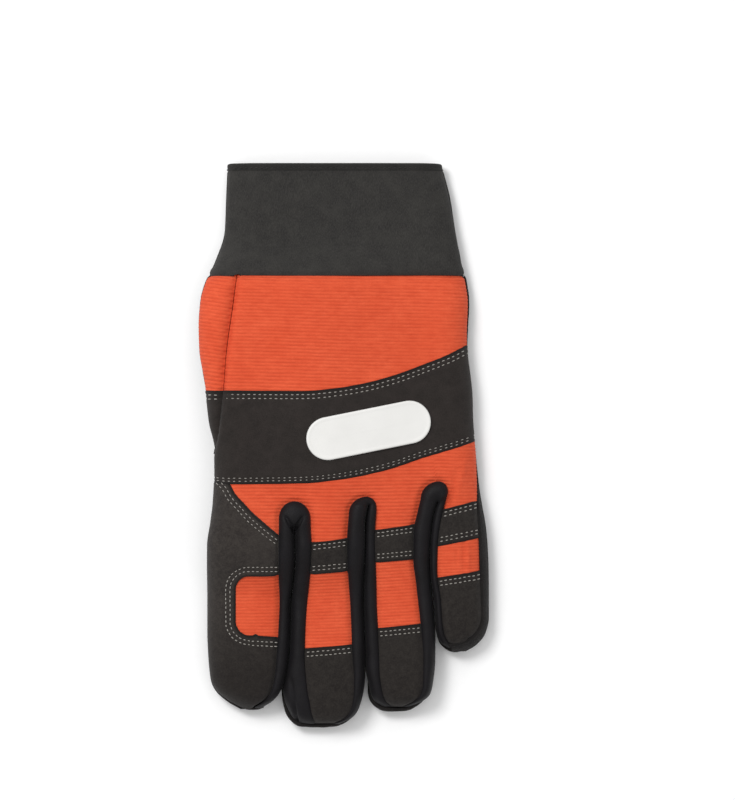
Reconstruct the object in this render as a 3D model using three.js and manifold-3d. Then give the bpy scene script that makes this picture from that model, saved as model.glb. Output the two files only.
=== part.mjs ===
// A left work glove lying flat on its palm, back of the hand up, thumb tucked under the palm.
// Millimetres, +Z up. The fingers point along -Y, the cuff opens along +Y, and the origin is
// under the middle of the glove on the surface that it lies on.

import * as THREE from 'three';
import { mergeVertices } from 'three/addons/utils/BufferGeometryUtils.js';
import Module from 'manifold-3d';

const wasm = await Module();
wasm.setup();

// Cloth and leather thicknesses
const BACK_WALL = 1.8;
const PALM_WALL = 1.7;
const FORK_WALL = 1.3;
const HEM_WALL = 2.6;
const PATCH_WALL = 1.4;
const THUMB_WALL = 1.6;

// Clear width of every sewn joint, and the space between two fingers
const SEAM = 0.35;
const FINGER_SPACE = 0.25;

// Heights of the flat glove: the side seam runs at half height, the tip seams nearly close
const SIDE_SEAM_HEIGHT = 6;
const TIP_SHARE = 0.15;
const TIP_THINNING = 0.5;
const TIP_LENGTH = 19;
const TIP_END = 0.5;
const BACK_EDGE_RISE = 0.3;
const PALM_EDGE_DROP = 0.25;
const BACK_EDGE_REACH = 14;
const PALM_EDGE_REACH = 10;

// The thumb lies under the palm on the index side and lifts it
const THUMB_HEIGHT = 9.2;
const THUMB_LIFT = 9.6;
const LIFT_X = { full: -24, none: 44 };
const LIFT_CUFF_Y = { none: 95, full: 70 };
const LIFT_FINGER_Y = { full: -45, none: -72 };

// Cuff, hem and wrist seam
const CUFF_TOP = 128.9;
const HEM_WIDTH = 3.4;
const WRIST_SEAM = 77.6;

// Bare oval patch on the hand band
const PATCH = { length: 57.4, width: 19.6, x: 11.5, y: 6.8, turn: 11.3 };
const PATCH_CLEARANCE = 0.45;
const PATCH_END = 0.1;

// Height of the back above the side seam, along the glove
const CROWN = table('y height', [
  [128.9, 8.0],
  [100, 8.2],
  [78, 9.6],
  [58, 11.4],
  [25, 12.0],
  [-30, 11.6],
  [-60, 11.2],
  [-100, 10.8],
  [-130, 10.6],
]);

// Outer sides of the glove from the cuff to the finger roots
const SIDES = table('y left right', [
  [128.9, -52.8, 44.4],
  [124, -53.1, 45.9],
  [112.9, -53.6, 48.7],
  [98.3, -54.2, 51.0],
  [83.6, -58.6, 53.7],
  [73.6, -63.0, 56.0],
  [65.8, -65.1, 56.9],
  [54.4, -66.2, 56.6],
  [44.8, -66.0, 56.5],
  [24.9, -62.7, 58.4],
  [11.4, -61.3, 59.0],
  [-3.7, -58.6, 60.4],
  [-15.1, -58.6, 61.0],
  [-26.5, -59.2, 62.6],
  [-34.3, -60.1, 64.1],
]);

const FINGERS_START = -34.3;

// Each finger in plan: outer sides, and the two seams between its back panel and its fourchettes
const INDEX = table('y left seamLeft seamRight right', [
  [-22.0, -58.9, -58.9, -29.3, -22.2],
  [-34.3, -60.1, -60.1, -29.3, -22.2],
  [-45.7, -61.7, -61.7, -29.5, -22.0],
  [-59.4, -61.9, -61.9, -29.5, -22.6],
  [-70.8, -61.9, -61.9, -29.2, -24.0],
  [-85.9, -61.9, -61.9, -29.8, -24.4],
  [-96.0, -61.5, -61.5, -30.6, -24.9],
  [-103.3, -60.9, -60.9, -31.2, -25.6],
  [-108.5, -60.1, -60.1, -32.0, -26.8],
  [-112.4, -58.1, -58.1, -33.0, -28.6],
  [-117.0, -53.0, -53.0, -36.0, -31.8],
  [-120.6, -46.7, -46.7, -40.6, -36.6],
]);
const MIDDLE = table('y left seamLeft seamRight right', [
  [-24.6, -22.2, -15.0, 3.4, 12.1],
  [-30.2, -22.2, -15.0, 2.6, 10.7],
  [-36.0, -22.2, -14.9, 2.1, 9.9],
  [-45.7, -22.0, -14.4, 1.6, 9.8],
  [-52.6, -21.9, -14.6, 1.7, 9.6],
  [-62.6, -22.9, -15.5, 2.4, 9.3],
  [-74.0, -24.2, -16.7, 3.2, 9.3],
  [-85.9, -24.4, -17.4, 3.7, 9.7],
  [-96.0, -25.0, -17.6, 4.0, 10.0],
  [-106.0, -27.2, -17.0, 4.7, 10.0],
  [-112.0, -28.6, -16.7, 4.7, 9.4],
  [-117.0, -28.3, -16.0, 4.2, 8.3],
  [-122.2, -26.8, -15.3, 2.8, 6.4],
  [-126.0, -24.9, -14.4, 0.2, 3.6],
  [-128.7, -21.6, -13.5, -4.6, -1.6],
]);
const RING = table('y left seamLeft seamRight right', [
  [-24.6, 12.1, 16.6, 35.2, 43.6],
  [-31.4, 10.5, 15.0, 33.6, 41.3],
  [-40.0, 9.9, 14.5, 31.9, 40.0],
  [-51.2, 9.6, 14.7, 31.8, 39.3],
  [-62.6, 9.3, 15.1, 33.1, 40.1],
  [-74.0, 9.3, 15.3, 34.4, 41.3],
  [-86.4, 9.6, 16.0, 35.6, 42.1],
  [-98.3, 9.8, 16.5, 36.2, 42.1],
  [-109.2, 10.6, 16.7, 36.2, 41.0],
  [-114.0, 10.9, 17.2, 35.0, 39.8],
  [-118.0, 12.3, 18.4, 32.2, 36.6],
  [-121.3, 16.2, 21.4, 27.0, 30.6],
]);
const LITTLE = table('y left seamLeft seamRight right', [
  [-24.6, 43.6, 47.0, 62.3, 62.3],
  [-31.4, 41.3, 45.2, 63.6, 63.6],
  [-38.8, 40.1, 43.9, 64.7, 64.7],
  [-45.7, 39.6, 43.2, 65.3, 65.3],
  [-57.1, 39.6, 42.8, 65.8, 65.8],
  [-70.8, 41.4, 44.6, 65.9, 65.9],
  [-79.1, 42.0, 45.2, 65.9, 65.9],
  [-86.0, 42.2, 46.0, 64.4, 64.4],
  [-91.0, 43.8, 48.0, 60.6, 60.6],
  [-94.2, 47.6, 51.0, 55.4, 55.4],
]);
const FINGERS = [
  { name: 'index', rows: INDEX, tip: -121.6 },
  { name: 'middle', rows: MIDDLE, tip: -129.2 },
  { name: 'ring', rows: RING, tip: -121.9 },
  { name: 'little', rows: LITTLE, tip: -94.7 },
];

// Seam lines of the back, each a height across the glove or a place along it
const THUMB_SIDE_SEAM = table('y x', [
  [78, -48.5],
  [64.5, -50.1],
  [44.9, -52.9],
  [24.9, -55.0],
  [11.4, -56.6],
  [3, -58.0],
  [-6.4, -59.6],
]);
const BAND_TOP = table('x y', [
  [-66, 24.9],
  [-18.8, 24.7],
  [-4.8, 25.8],
  [9.2, 28.1],
  [23.2, 31.9],
  [37.2, 37.0],
  [46.5, 40.7],
  [58, 46.6],
]);
const BAND_BOTTOM = table('x y', [
  [-62, -14.0],
  [-54.6, -14.0],
  [-51.4, -18.1],
  [-18.8, -17.2],
  [-0.1, -15.4],
  [18.5, -11.6],
  [37.2, -5.5],
  [51.2, -1.4],
  [61, 1.9],
]);
const INDEX_PANEL_RIGHT = table('y x', [
  [-14.6, -56.0],
  [-18.4, -52.6],
  [-27, -44.0],
  [-34.5, -37.2],
  [-40.4, -29.9],
]);
const LOWER_BACK_LEFT = -50;
const LOWER_BACK_END = table('x y', [
  [-50, -19.6],
  [-44, -26.8],
  [-37.4, -34.2],
  [-29.9, -40.0],
  [-14.1, -46.0],
  [14.8, -41.0],
  [45.6, -32.0],
  [66, -28.0],
]);
const KNUCKLE_TOP = { middle: [-44.2, -42.4], ring: [-38.7, -36.3], little: [-29.2, -25.2] };
const KNUCKLE_BOTTOM = { middle: [-59.0, -57.5], ring: [-53.5, -52.1], little: [-46.2, -42.4] };
const CAP_EDGE = { middle: [-92.8, -90.9], ring: [-83.5, -81.5], little: [-60.5, -57.4] };

// Orange window in the index panel, open to the fourchette seam
const WINDOW = { left: -49.1, top: -59.7, bottomLeft: -86.5, bottomRight: -87.6, corner: 6 };

// Fourchettes: one strip to each gap, turning round the finger crotch
const FORKS = [
  { name: 'fourchette_index_middle', left: 0, right: 1, crotch: -33.4, reach: 7.1 },
  { name: 'fourchette_middle_ring', left: 1, right: 2, crotch: -31.0, reach: 6.8 },
  { name: 'fourchette_ring_little', left: 2, right: 3, crotch: -24.6, reach: 7.0 },
];
const FORK_FOOT = 3.0;
const FORK_COLUMNS = { roll: 4, side: 1, foot: 2 };
const CROTCH_STEPS = 6;
const FORK_FULL_WALL = 0.6;
const FORK_TURN = table('y angle', [
  [-20, 155],
  [-36, 152],
  [-55, 138],
  [-80, 124],
  [-110, 114],
  [-130, 110],
]);
const FOOT_TURN = 88;

// Sheet columns across the whole hand
const HAND_COLUMNS = 14;

// Distances from the fingertip of the sections that all pieces of a finger share, and the least
// distance between one of them and a piece's end
const TIP_SECTIONS = [TIP_END, 1.5, 3.2, 5.6, 9, 14, 20.5, 29, 41, 52, 62, 74, 86];
const SECTION_MARGIN = 1.2;

// Palm, split at the finger roots
const PALM_ROOT = { index: -38, middle: -36, ring: -34, little: -30 };
const THUMB_HOLE = { x: -44, y: 37, halfWidth: 10.5, halfLength: 15 };

// Thumb in plan: a long flat pouch from heel to toe
const THUMB_HEEL = { x: -45.5, y: 55 };
const THUMB_TOE = { x: -33.5, y: -42 };
const THUMB_WIDTH = table('share half', [
  [0, 14.2],
  [0.35, 15.2],
  [0.7, 13.8],
  [1, 12.2],
]);

// Colours and finish
const MATERIALS = {
  knit: { color: 0xe65c34, roughness: 0.9 },
  suede: { color: 0x3a3834, roughness: 0.95 },
  band: { color: 0x2d2a28, roughness: 0.85 },
  cuff: { color: 0x333232, roughness: 0.9 },
  fork: { color: 0x1e1e22, roughness: 0.6 },
  palm: { color: 0x33312f, roughness: 0.8 },
  patch: { color: 0xf1efec, roughness: 0.55 },
};

// Step and inset at which a sheet's slope is taken
const STEP = 1e-3;
const NEAR_EDGE = 0.01;

const group = new THREE.Group();

// Tables and curves

function table(names, rows) {
  const keys = names.split(' ');
  return { keys, rows: [...rows].sort((a, b) => a[0] - b[0]) };
}

// Smooth value of a column, held constant past the first and last rows
function look(source, column, at) {
  const rows = source.rows;
  const c = source.keys.indexOf(column);
  const last = rows.length - 1;
  if (at <= rows[0][0]) return rows[0][c];
  if (at >= rows[last][0]) return rows[last][c];
  let i = 0;
  while (rows[i + 1][0] < at) i += 1;
  const slope = (k) => (rows[k + 1][c] - rows[k][c]) / (rows[k + 1][0] - rows[k][0]);
  const tangent = (k) => {
    if (k === 0) return slope(0);
    if (k === last) return slope(last - 1);
    const before = slope(k - 1);
    const after = slope(k);
    return before * after <= 0 ? 0 : (2 * before * after) / (before + after);
  };
  const span = rows[i + 1][0] - rows[i][0];
  const t = (at - rows[i][0]) / span;
  const a = rows[i][c];
  const b = rows[i + 1][c];
  const h = t * t * (3 - 2 * t);
  const rise = (t ** 3 - 2 * t * t + t) * tangent(i) + (t ** 3 - t * t) * tangent(i + 1);
  return a + (b - a) * h + rise * span;
}

function lerp(a, b, t) {
  return a + (b - a) * t;
}

// 0 at from, 1 at to, with an eased run between
function ramp(value, from, to) {
  const t = Math.min(1, Math.max(0, (value - from) / (to - from)));
  return t * t * (3 - 2 * t);
}

// Round shoulder: 0 at the edge, 1 from reach inward
function shoulder(inset, reach) {
  const t = 1 - Math.min(1, Math.max(0, inset / reach));
  return Math.sqrt(1 - t ** 2.2);
}

// The glove's form

function lift(x, y) {
  const across = 1 - ramp(x, LIFT_X.full, LIFT_X.none);
  const cuff = ramp(y, LIFT_CUFF_Y.none, LIFT_CUFF_Y.full);
  const fingers = ramp(y, LIFT_FINGER_Y.none, LIFT_FINGER_Y.full);
  return THUMB_LIFT * across * cuff * fingers;
}

function seamHeight(x, y) {
  return SIDE_SEAM_HEIGHT + lift(x, y);
}

function fingerAt(x, y) {
  const at = Math.min(y, INDEX.rows[INDEX.rows.length - 1][0]);
  return FINGERS.find((finger) => x <= look(finger.rows, 'right', at)) ?? FINGERS[3];
}

// How far a finger is still open towards its tip, from 1 down to TIP_SHARE
function openness(finger, y) {
  const t = Math.min(1, Math.max(0, (finger.tip + TIP_LENGTH - y) / (TIP_LENGTH - TIP_END)));
  return lerp(TIP_SHARE, 1, (1 - t ** 2.8) ** 0.5);
}

// Left or right outer side of the whole glove, down to the tips of the index and little fingers
function gloveSide(column, y) {
  if (y > FINGERS_START) return look(SIDES, column, y);
  return look(column === 'left' ? INDEX : LITTLE, column, y);
}

// Distance in from the side seam. The middle and ring fingers have none.
function insideSeam(x, y) {
  const finger = fingerAt(x, y);
  const onHand = y > FINGERS_START;
  const fromLeft = onHand || finger.name === 'index' ? x - gloveSide('left', y) : Infinity;
  const fromRight = onHand || finger.name === 'little' ? gloveSide('right', y) - x : Infinity;
  return Math.min(fromLeft, fromRight);
}

// The back of a finger falls a little towards its fourchette seams
function fingerFall(finger, x, y) {
  const from = look(finger.rows, 'seamLeft', y);
  const to = look(finger.rows, 'seamRight', y);
  const share = (2 * (x - from)) / (to - from) - 1;
  const used = finger.name === 'index' ? Math.max(0, share) : share;
  const kept = finger.name === 'little' ? Math.min(0, used) : used;
  return 1.2 * Math.min(1.3, kept * kept) * ramp(y, -8, -42);
}

// Creases along the thumb side seam and the wrist seam
function creases(x, y) {
  const side = look(THUMB_SIDE_SEAM, 'x', y);
  const shown = ramp(y, -4, 16);
  const thumb = 1.3 * shown * Math.exp(-(((x - side) / 3) ** 2));
  const wrist = 1.1 * Math.exp(-(((y - WRIST_SEAM) / 4) ** 2));
  return y > WRIST_SEAM ? wrist : Math.max(thumb, wrist);
}

// Outer face of the back over a place in plan
function backHeight(x, y) {
  const finger = fingerAt(x, y);
  const inside = insideSeam(x, y);
  const open = openness(finger, y) * shoulder(inside, BACK_EDGE_REACH);
  const crown = look(CROWN, 'height', y) - fingerFall(finger, x, y) - creases(x, y);
  return seamHeight(x, y) + lerp(BACK_EDGE_RISE, crown, open);
}

// Under face of the palm
function palmHeight(x, y) {
  const finger = fingerAt(x, y);
  const inside = insideSeam(x, y);
  const open = openness(finger, y) * shoulder(inside, PALM_EDGE_REACH);
  return seamHeight(x, y) - lerp(PALM_EDGE_DROP, SIDE_SEAM_HEIGHT, open);
}

// Solids

function closedSolid(points, faces) {
  const geometry = new THREE.BufferGeometry();
  const numbers = points.flatMap((p) => p.toArray());
  geometry.setAttribute('position', new THREE.Float32BufferAttribute(numbers, 3));
  let volume = 0;
  for (const [a, b, c] of faces) {
    volume += points[a].dot(new THREE.Vector3().crossVectors(points[b], points[c]));
  }
  const turned = volume < 0 ? faces.map(([a, b, c]) => [a, c, b]) : faces;
  geometry.setIndex(turned.flat());
  return geometry;
}

// A sheet of cloth. place(u, v) is a point of its outer face, wall its thickness or a function
// of v, and facing tells which way is out: +1 or -1 times the product of the u and v directions.
function sheet(place, across, along, wall, facing) {
  const thickness = typeof wall === 'number' ? () => wall : wall;
  const outer = [];
  const inner = [];
  for (let j = 0; j <= along; j += 1) {
    for (let i = 0; i <= across; i += 1) {
      const u = i / across;
      const v = j / along;
      const us = Math.min(1 - NEAR_EDGE, Math.max(NEAR_EDGE, u));
      const vs = Math.min(1 - NEAR_EDGE, Math.max(NEAR_EDGE, v));
      const du = place(us + STEP, vs).sub(place(us - STEP, vs));
      const dv = place(us, vs + STEP).sub(place(us, vs - STEP));
      const inward = du.cross(dv).normalize().multiplyScalar(-facing * thickness(v));
      const point = place(u, v);
      outer.push(point);
      inner.push(point.clone().add(inward));
    }
  }
  const count = outer.length;
  const at = (i, j) => j * (across + 1) + i;
  const faces = [];
  const quad = (a, b, c, d) => {
    faces.push([a, b, c], [a, c, d]);
  };
  for (let j = 0; j < along; j += 1) {
    for (let i = 0; i < across; i += 1) {
      const [a, b, c, d] = [at(i, j), at(i + 1, j), at(i + 1, j + 1), at(i, j + 1)];
      quad(a, b, c, d);
      quad(count + a, count + d, count + c, count + b);
    }
  }
  for (let i = 0; i < across; i += 1) {
    quad(at(i + 1, 0), at(i, 0), count + at(i, 0), count + at(i + 1, 0));
    quad(at(i, along), at(i + 1, along), count + at(i + 1, along), count + at(i, along));
  }
  for (let j = 0; j < along; j += 1) {
    quad(at(0, j), at(0, j + 1), count + at(0, j + 1), count + at(0, j));
    quad(at(across, j + 1), at(across, j), count + at(across, j), count + at(across, j + 1));
  }
  return closedSolid([...outer, ...inner], faces);
}

function toManifold(geometry) {
  const bare = geometry.clone();
  bare.deleteAttribute('normal');
  bare.deleteAttribute('uv');
  const merged = mergeVertices(bare, 1e-4);
  const vertProperties = new Float32Array(merged.attributes.position.array);
  const triVerts = new Uint32Array(merged.index.array);
  return new wasm.Manifold(new wasm.Mesh({ numProp: 3, vertProperties, triVerts }));
}

function fromManifold(solid) {
  const mesh = solid.getMesh();
  const geometry = new THREE.BufferGeometry();
  geometry.setAttribute('position', new THREE.Float32BufferAttribute(mesh.vertProperties, 3));
  geometry.setIndex([...mesh.triVerts]);
  return geometry;
}

// An upright prism through the whole height of the glove, over an outline in plan
function prism(outline) {
  const bottom = -10;
  const depth = 60;
  const shape = new THREE.Shape(outline.map(([x, y]) => new THREE.Vector2(x, y)));
  const geometry = new THREE.ExtrudeGeometry(shape, { depth, bevelEnabled: false });
  geometry.translate(0, 0, bottom);
  return toManifold(geometry);
}

function add(name, geometry, finish) {
  const material = new THREE.MeshStandardMaterial({ metalness: 0, ...MATERIALS[finish] });
  geometry.computeVertexNormals();
  const mesh = new THREE.Mesh(geometry, material);
  mesh.name = name;
  group.add(mesh);
}

// A back or palm piece between two sides and two ends. Rows are closer near an edge that
// rounds over: ease is 'both', 'left', 'right' or 'none'.
function easeAcross(u, ease) {
  if (ease === 'both') return 0.5 - 0.5 * Math.cos(Math.PI * u);
  if (ease === 'left') return 1 - Math.cos((Math.PI / 2) * u);
  if (ease === 'right') return Math.sin((Math.PI / 2) * u);
  return u;
}

// Heights of the shared sections of a finger that lie below a start, from the root to the tip
function sectionsBelow(finger, start) {
  const heights = TIP_SECTIONS.map((distance) => finger.tip + distance);
  return heights.filter((y) => y < start - SECTION_MARGIN).sort((a, b) => b - a);
}

// Height at a share of the way through a list of section heights
function heightAt(heights, v) {
  const place = v * (heights.length - 1);
  const i = Math.min(heights.length - 2, Math.floor(place));
  return lerp(heights[i], heights[i + 1], place - i);
}

function backPoint(x, y) {
  return new THREE.Vector3(x, y, backHeight(x, y));
}

function palmPoint(x, y) {
  return new THREE.Vector3(x, y, palmHeight(x, y));
}

// Cuff and hand

function handSheet(surface, left, right, top, bottom, ease) {
  return (u, v) => {
    const guess = lerp(top(0), bottom(0), v);
    const share = easeAcross(u, ease);
    const first = lerp(left(guess), right(guess), share);
    const y = lerp(top(first), bottom(first), v);
    return surface(lerp(left(y), right(y), share), y);
  };
}

function sideOf(column) {
  return (y) => gloveSide(column, y);
}

function level(y) {
  return () => y;
}

function addCuff() {
  const left = sideOf('left');
  const right = sideOf('right');
  const hemLine = level(CUFF_TOP - HEM_WIDTH);
  const top = level(CUFF_TOP - HEM_WIDTH - SEAM);
  const bottom = level(WRIST_SEAM + SEAM / 2);
  const cuffBack = handSheet(backPoint, left, right, top, bottom, 'both');
  const cuffPalm = handSheet(palmPoint, left, right, top, bottom, 'both');
  const hemBack = handSheet(backPoint, left, right, level(CUFF_TOP), hemLine, 'both');
  const hemPalm = handSheet(palmPoint, left, right, level(CUFF_TOP), hemLine, 'both');
  add('cuff_back', sheet(cuffBack, HAND_COLUMNS, 5, BACK_WALL, -1), 'cuff');
  add('cuff_palm', sheet(cuffPalm, HAND_COLUMNS, 5, PALM_WALL, 1), 'cuff');
  add('cuff_hem_back', sheet(hemBack, HAND_COLUMNS, 1, HEM_WALL, -1), 'cuff');
  add('cuff_hem_palm', sheet(hemPalm, HAND_COLUMNS, 1, HEM_WALL, 1), 'cuff');
}

function addHandBack() {
  const top = level(WRIST_SEAM - SEAM / 2);
  const right = sideOf('right');
  const left = sideOf('left');
  const thumbSeam = (inset) => (y) => look(THUMB_SIDE_SEAM, 'x', y) + inset;
  const bandTop = (gap) => (x) => look(BAND_TOP, 'y', x) + gap;
  const bandBottom = (gap) => (x) => look(BAND_BOTTOM, 'y', x) + gap;
  const half = SEAM / 2;
  const bandLeft = (y) => Math.max(gloveSide('left', y), look(THUMB_SIDE_SEAM, 'x', y) + half);
  const upper = handSheet(backPoint, thumbSeam(half), right, top, bandTop(half), 'right');
  const sideUpper = handSheet(backPoint, left, thumbSeam(-half), top, bandTop(half), 'left');
  const sideLower = handSheet(backPoint, left, thumbSeam(-half), bandTop(-half), level(3), 'left');
  const band = handSheet(backPoint, bandLeft, right, bandTop(-half), bandBottom(half), 'both');
  add('back_upper', sheet(upper, HAND_COLUMNS - 1, 6, BACK_WALL, -1), 'knit');
  add('thumb_side_upper', sheet(sideUpper, 4, 6, BACK_WALL, -1), 'knit');
  add('thumb_side_lower', sheet(sideLower, 3, 3, BACK_WALL, -1), 'band');
  add('hand_band', sheet(band, HAND_COLUMNS, 6, BACK_WALL, -1), 'band');
}

function addPatch() {
  const turn = THREE.MathUtils.degToRad(PATCH.turn);
  const radius = PATCH.width / 2;
  const straight = PATCH.length / 2 - radius;
  const rows = 14;
  const place = (u, v) => {
    const along = -(PATCH.length / 2 - PATCH_END) * Math.cos(Math.PI * v);
    const past = Math.max(0, Math.abs(along) - straight);
    const across = (2 * u - 1) * Math.sqrt(radius * radius - past * past);
    const x = PATCH.x + along * Math.cos(turn) - across * Math.sin(turn);
    const y = PATCH.y + along * Math.sin(turn) + across * Math.cos(turn);
    return new THREE.Vector3(x, y, backHeight(x, y) + PATCH_CLEARANCE + PATCH_WALL);
  };
  add('patch', sheet(place, 4, rows, PATCH_WALL, -1), 'patch');
}

// Outline in plan of the notch that a fourchette fills, a clearance wider all round
function notchOutline(fork, clearance, bottom) {
  const leftRows = FINGERS[fork.left].rows;
  const rightRows = FINGERS[fork.right].rows;
  const sideSteps = 8;
  const turnSteps = 12;
  const points = [];
  for (let i = 0; i <= sideSteps; i += 1) {
    const y = lerp(bottom, fork.crotch, i / sideSteps);
    points.push([look(leftRows, 'seamRight', y) - clearance, y]);
  }
  for (let i = 1; i < turnSteps; i += 1) {
    const angle = (Math.PI * i) / turnSteps;
    const reach = forkReach(fork, angle) + clearance;
    const x = forkCentre(fork) - Math.cos(angle) * reach;
    points.push([x, fork.crotch + Math.sin(angle) * reach]);
  }
  for (let i = sideSteps; i >= 0; i -= 1) {
    const y = lerp(bottom, fork.crotch, i / sideSteps);
    points.push([look(rightRows, 'seamLeft', y) + clearance, y]);
  }
  return points;
}

// Plan of a finger below the upper edge of its knuckle band
function belowKnuckle(finger) {
  const [atLeft, atRight] = KNUCKLE_TOP[finger.name];
  const middle = (atLeft + atRight) / 2;
  const left = look(finger.rows, 'seamLeft', middle);
  const right = look(finger.rows, 'seamRight', middle);
  const tilt = (atRight - atLeft) / (right - left);
  const line = (x) => atLeft + SEAM / 2 + tilt * (x - left);
  return [[left - 4, -70], [right + 4, -70], [right + 4, line(right + 4)], [left - 4, line(left - 4)]];
}

function addLowerBack() {
  const left = (y) => Math.max(LOWER_BACK_LEFT, gloveSide('left', y));
  const right = sideOf('right');
  const top = (x) => look(BAND_BOTTOM, 'y', x) - SEAM / 2;
  const bottom = (x) => look(LOWER_BACK_END, 'y', x) + SEAM / 2;
  const place = (u, v) => {
    const share = easeAcross(u, 'right');
    const first = lerp(LOWER_BACK_LEFT, right(0), share);
    const y = lerp(top(first), bottom(first), v);
    return backPoint(lerp(left(y), right(y), share), y);
  };
  let solid = toManifold(sheet(place, 20, 6, BACK_WALL, -1));
  for (const fork of FORKS) {
    solid = solid.subtract(prism(notchOutline(fork, SEAM, -60)));
  }
  for (const finger of FINGERS.slice(1)) {
    solid = solid.subtract(prism(belowKnuckle(finger)));
  }
  add('back_lower', fromManifold(solid), 'knit');
}

function windowOutline(inset) {
  const { left, top, bottomLeft, bottomRight, corner } = WINDOW;
  const round = corner - inset;
  const points = [];
  for (let i = 0; i <= 4; i += 1) {
    const angle = (Math.PI / 2) * (i / 4);
    points.push([left + corner - round * Math.cos(angle), top - corner + round * Math.sin(angle)]);
  }
  points.push([-20, top - inset]);
  points.push([-20, bottomRight + inset]);
  for (let i = 0; i <= 4; i += 1) {
    const angle = (Math.PI / 2) * (i / 4);
    points.push([left + corner - round * Math.sin(angle), bottomLeft + corner - round * Math.cos(angle)]);
  }
  return points;
}

function addIndexPanel() {
  const left = sideOf('left');
  const upper = [-15.2, -18.4, -26, -33.4, -40.4];
  const edgeEnd = upper[upper.length - 1];
  const right = (y) => {
    const seam = look(INDEX, 'seamRight', y) - SEAM / 2;
    return y > edgeEnd ? Math.min(seam, look(INDEX_PANEL_RIGHT, 'x', y) - SEAM) : seam;
  };
  const heights = [...upper, ...sectionsBelow(FINGERS[0], -42)];
  const place = (u, v) => {
    const y = heightAt(heights, v);
    return backPoint(lerp(left(y), right(y), easeAcross(u, 'left')), y);
  };
  const whole = toManifold(sheet(place, 8, heights.length - 1, BACK_WALL, -1));
  add('index_panel', fromManifold(whole.subtract(prism(windowOutline(-SEAM / 2)))), 'suede');
  add('index_window', fromManifold(whole.intersect(prism(windowOutline(SEAM / 2)))), 'knit');
}

// A panel across one finger from a slanting end, given at its left and right, through the
// shared sections below it to another slanting end or to the tip
function fingerSheet(finger, top, bottom) {
  const rows = finger.rows;
  const ease = finger.name === 'little' ? 'right' : 'none';
  const lowest = bottom ? Math.max(...bottom) : -Infinity;
  const between = sectionsBelow(finger, Math.min(...top)).filter((y) => y > lowest + SECTION_MARGIN);
  const place = (u, v) => {
    const share = easeAcross(u, ease);
    const end = bottom ? [lerp(bottom[0], bottom[1], share)] : [];
    const y = heightAt([lerp(top[0], top[1], share), ...between, ...end], v);
    const left = look(rows, 'seamLeft', y) + SEAM * 0.8;
    const seam = look(rows, 'seamRight', y) - SEAM * 0.8;
    const right = finger.name === 'little' ? gloveSide('right', y) : seam;
    return backPoint(lerp(left, right, share), y);
  };
  return sheet(place, 6, between.length + (bottom ? 1 : 0), BACK_WALL, -1);
}

function addFingerBacks() {
  for (const finger of FINGERS.slice(1)) {
    const half = SEAM / 2;
    const moved = (pair, by) => pair.map((y) => y + by);
    const root = KNUCKLE_TOP[finger.name];
    const knuckle = KNUCKLE_BOTTOM[finger.name];
    const cap = CAP_EDGE[finger.name];
    const band = fingerSheet(finger, moved(root, -half), moved(knuckle, half));
    const panel = fingerSheet(finger, moved(knuckle, -half), moved(cap, half));
    add(`knuckle_band_${finger.name}`, band, 'suede');
    add(`finger_panel_${finger.name}`, panel, 'knit');
    add(`tip_cap_${finger.name}`, fingerSheet(finger, moved(cap, -half), null), 'suede');
  }
}

// Fourchettes

function forkCentre(fork) {
  return look(FINGERS[fork.left].rows, 'right', fork.crotch);
}

// Distance from the crotch point to the seam, turning from the left finger to the right one
function forkReach(fork, angle) {
  const atLeft = forkCentre(fork) - look(FINGERS[fork.left].rows, 'seamRight', fork.crotch);
  const atRight = look(FINGERS[fork.right].rows, 'seamLeft', fork.crotch) - forkCentre(fork);
  const side = Math.cos(angle) > 0 ? atLeft : atRight;
  return lerp(fork.reach, side, Math.cos(angle) ** 2);
}

// The strip's profile as a distance out from the gap and a height: over the roll from the back
// seam, down the side of the finger, and under to the palm
function forkProfile(share, width, seamTop, floor, turnAngle) {
  const turn = THREE.MathUtils.degToRad(turnAngle);
  const radius = (width - FINGER_SPACE) / (1 - Math.cos(turn));
  const centre = seamTop - radius * Math.sin(turn);
  const foot = floor + FORK_FOOT;
  const { roll, side, foot: under } = FORK_COLUMNS;
  const column = share * (roll + side + under);
  if (column < roll) {
    const angle = turn * (1 - column / roll);
    return [FINGER_SPACE + radius * (1 - Math.cos(angle)), centre + radius * Math.sin(angle)];
  }
  if (column < roll + side) return [FINGER_SPACE, lerp(centre, foot, (column - roll) / side)];
  const angle = THREE.MathUtils.degToRad(FOOT_TURN) * ((column - roll - side) / under);
  return [FINGER_SPACE + FORK_FOOT * (1 - Math.cos(angle)), foot - FORK_FOOT * Math.sin(angle)];
}

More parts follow.
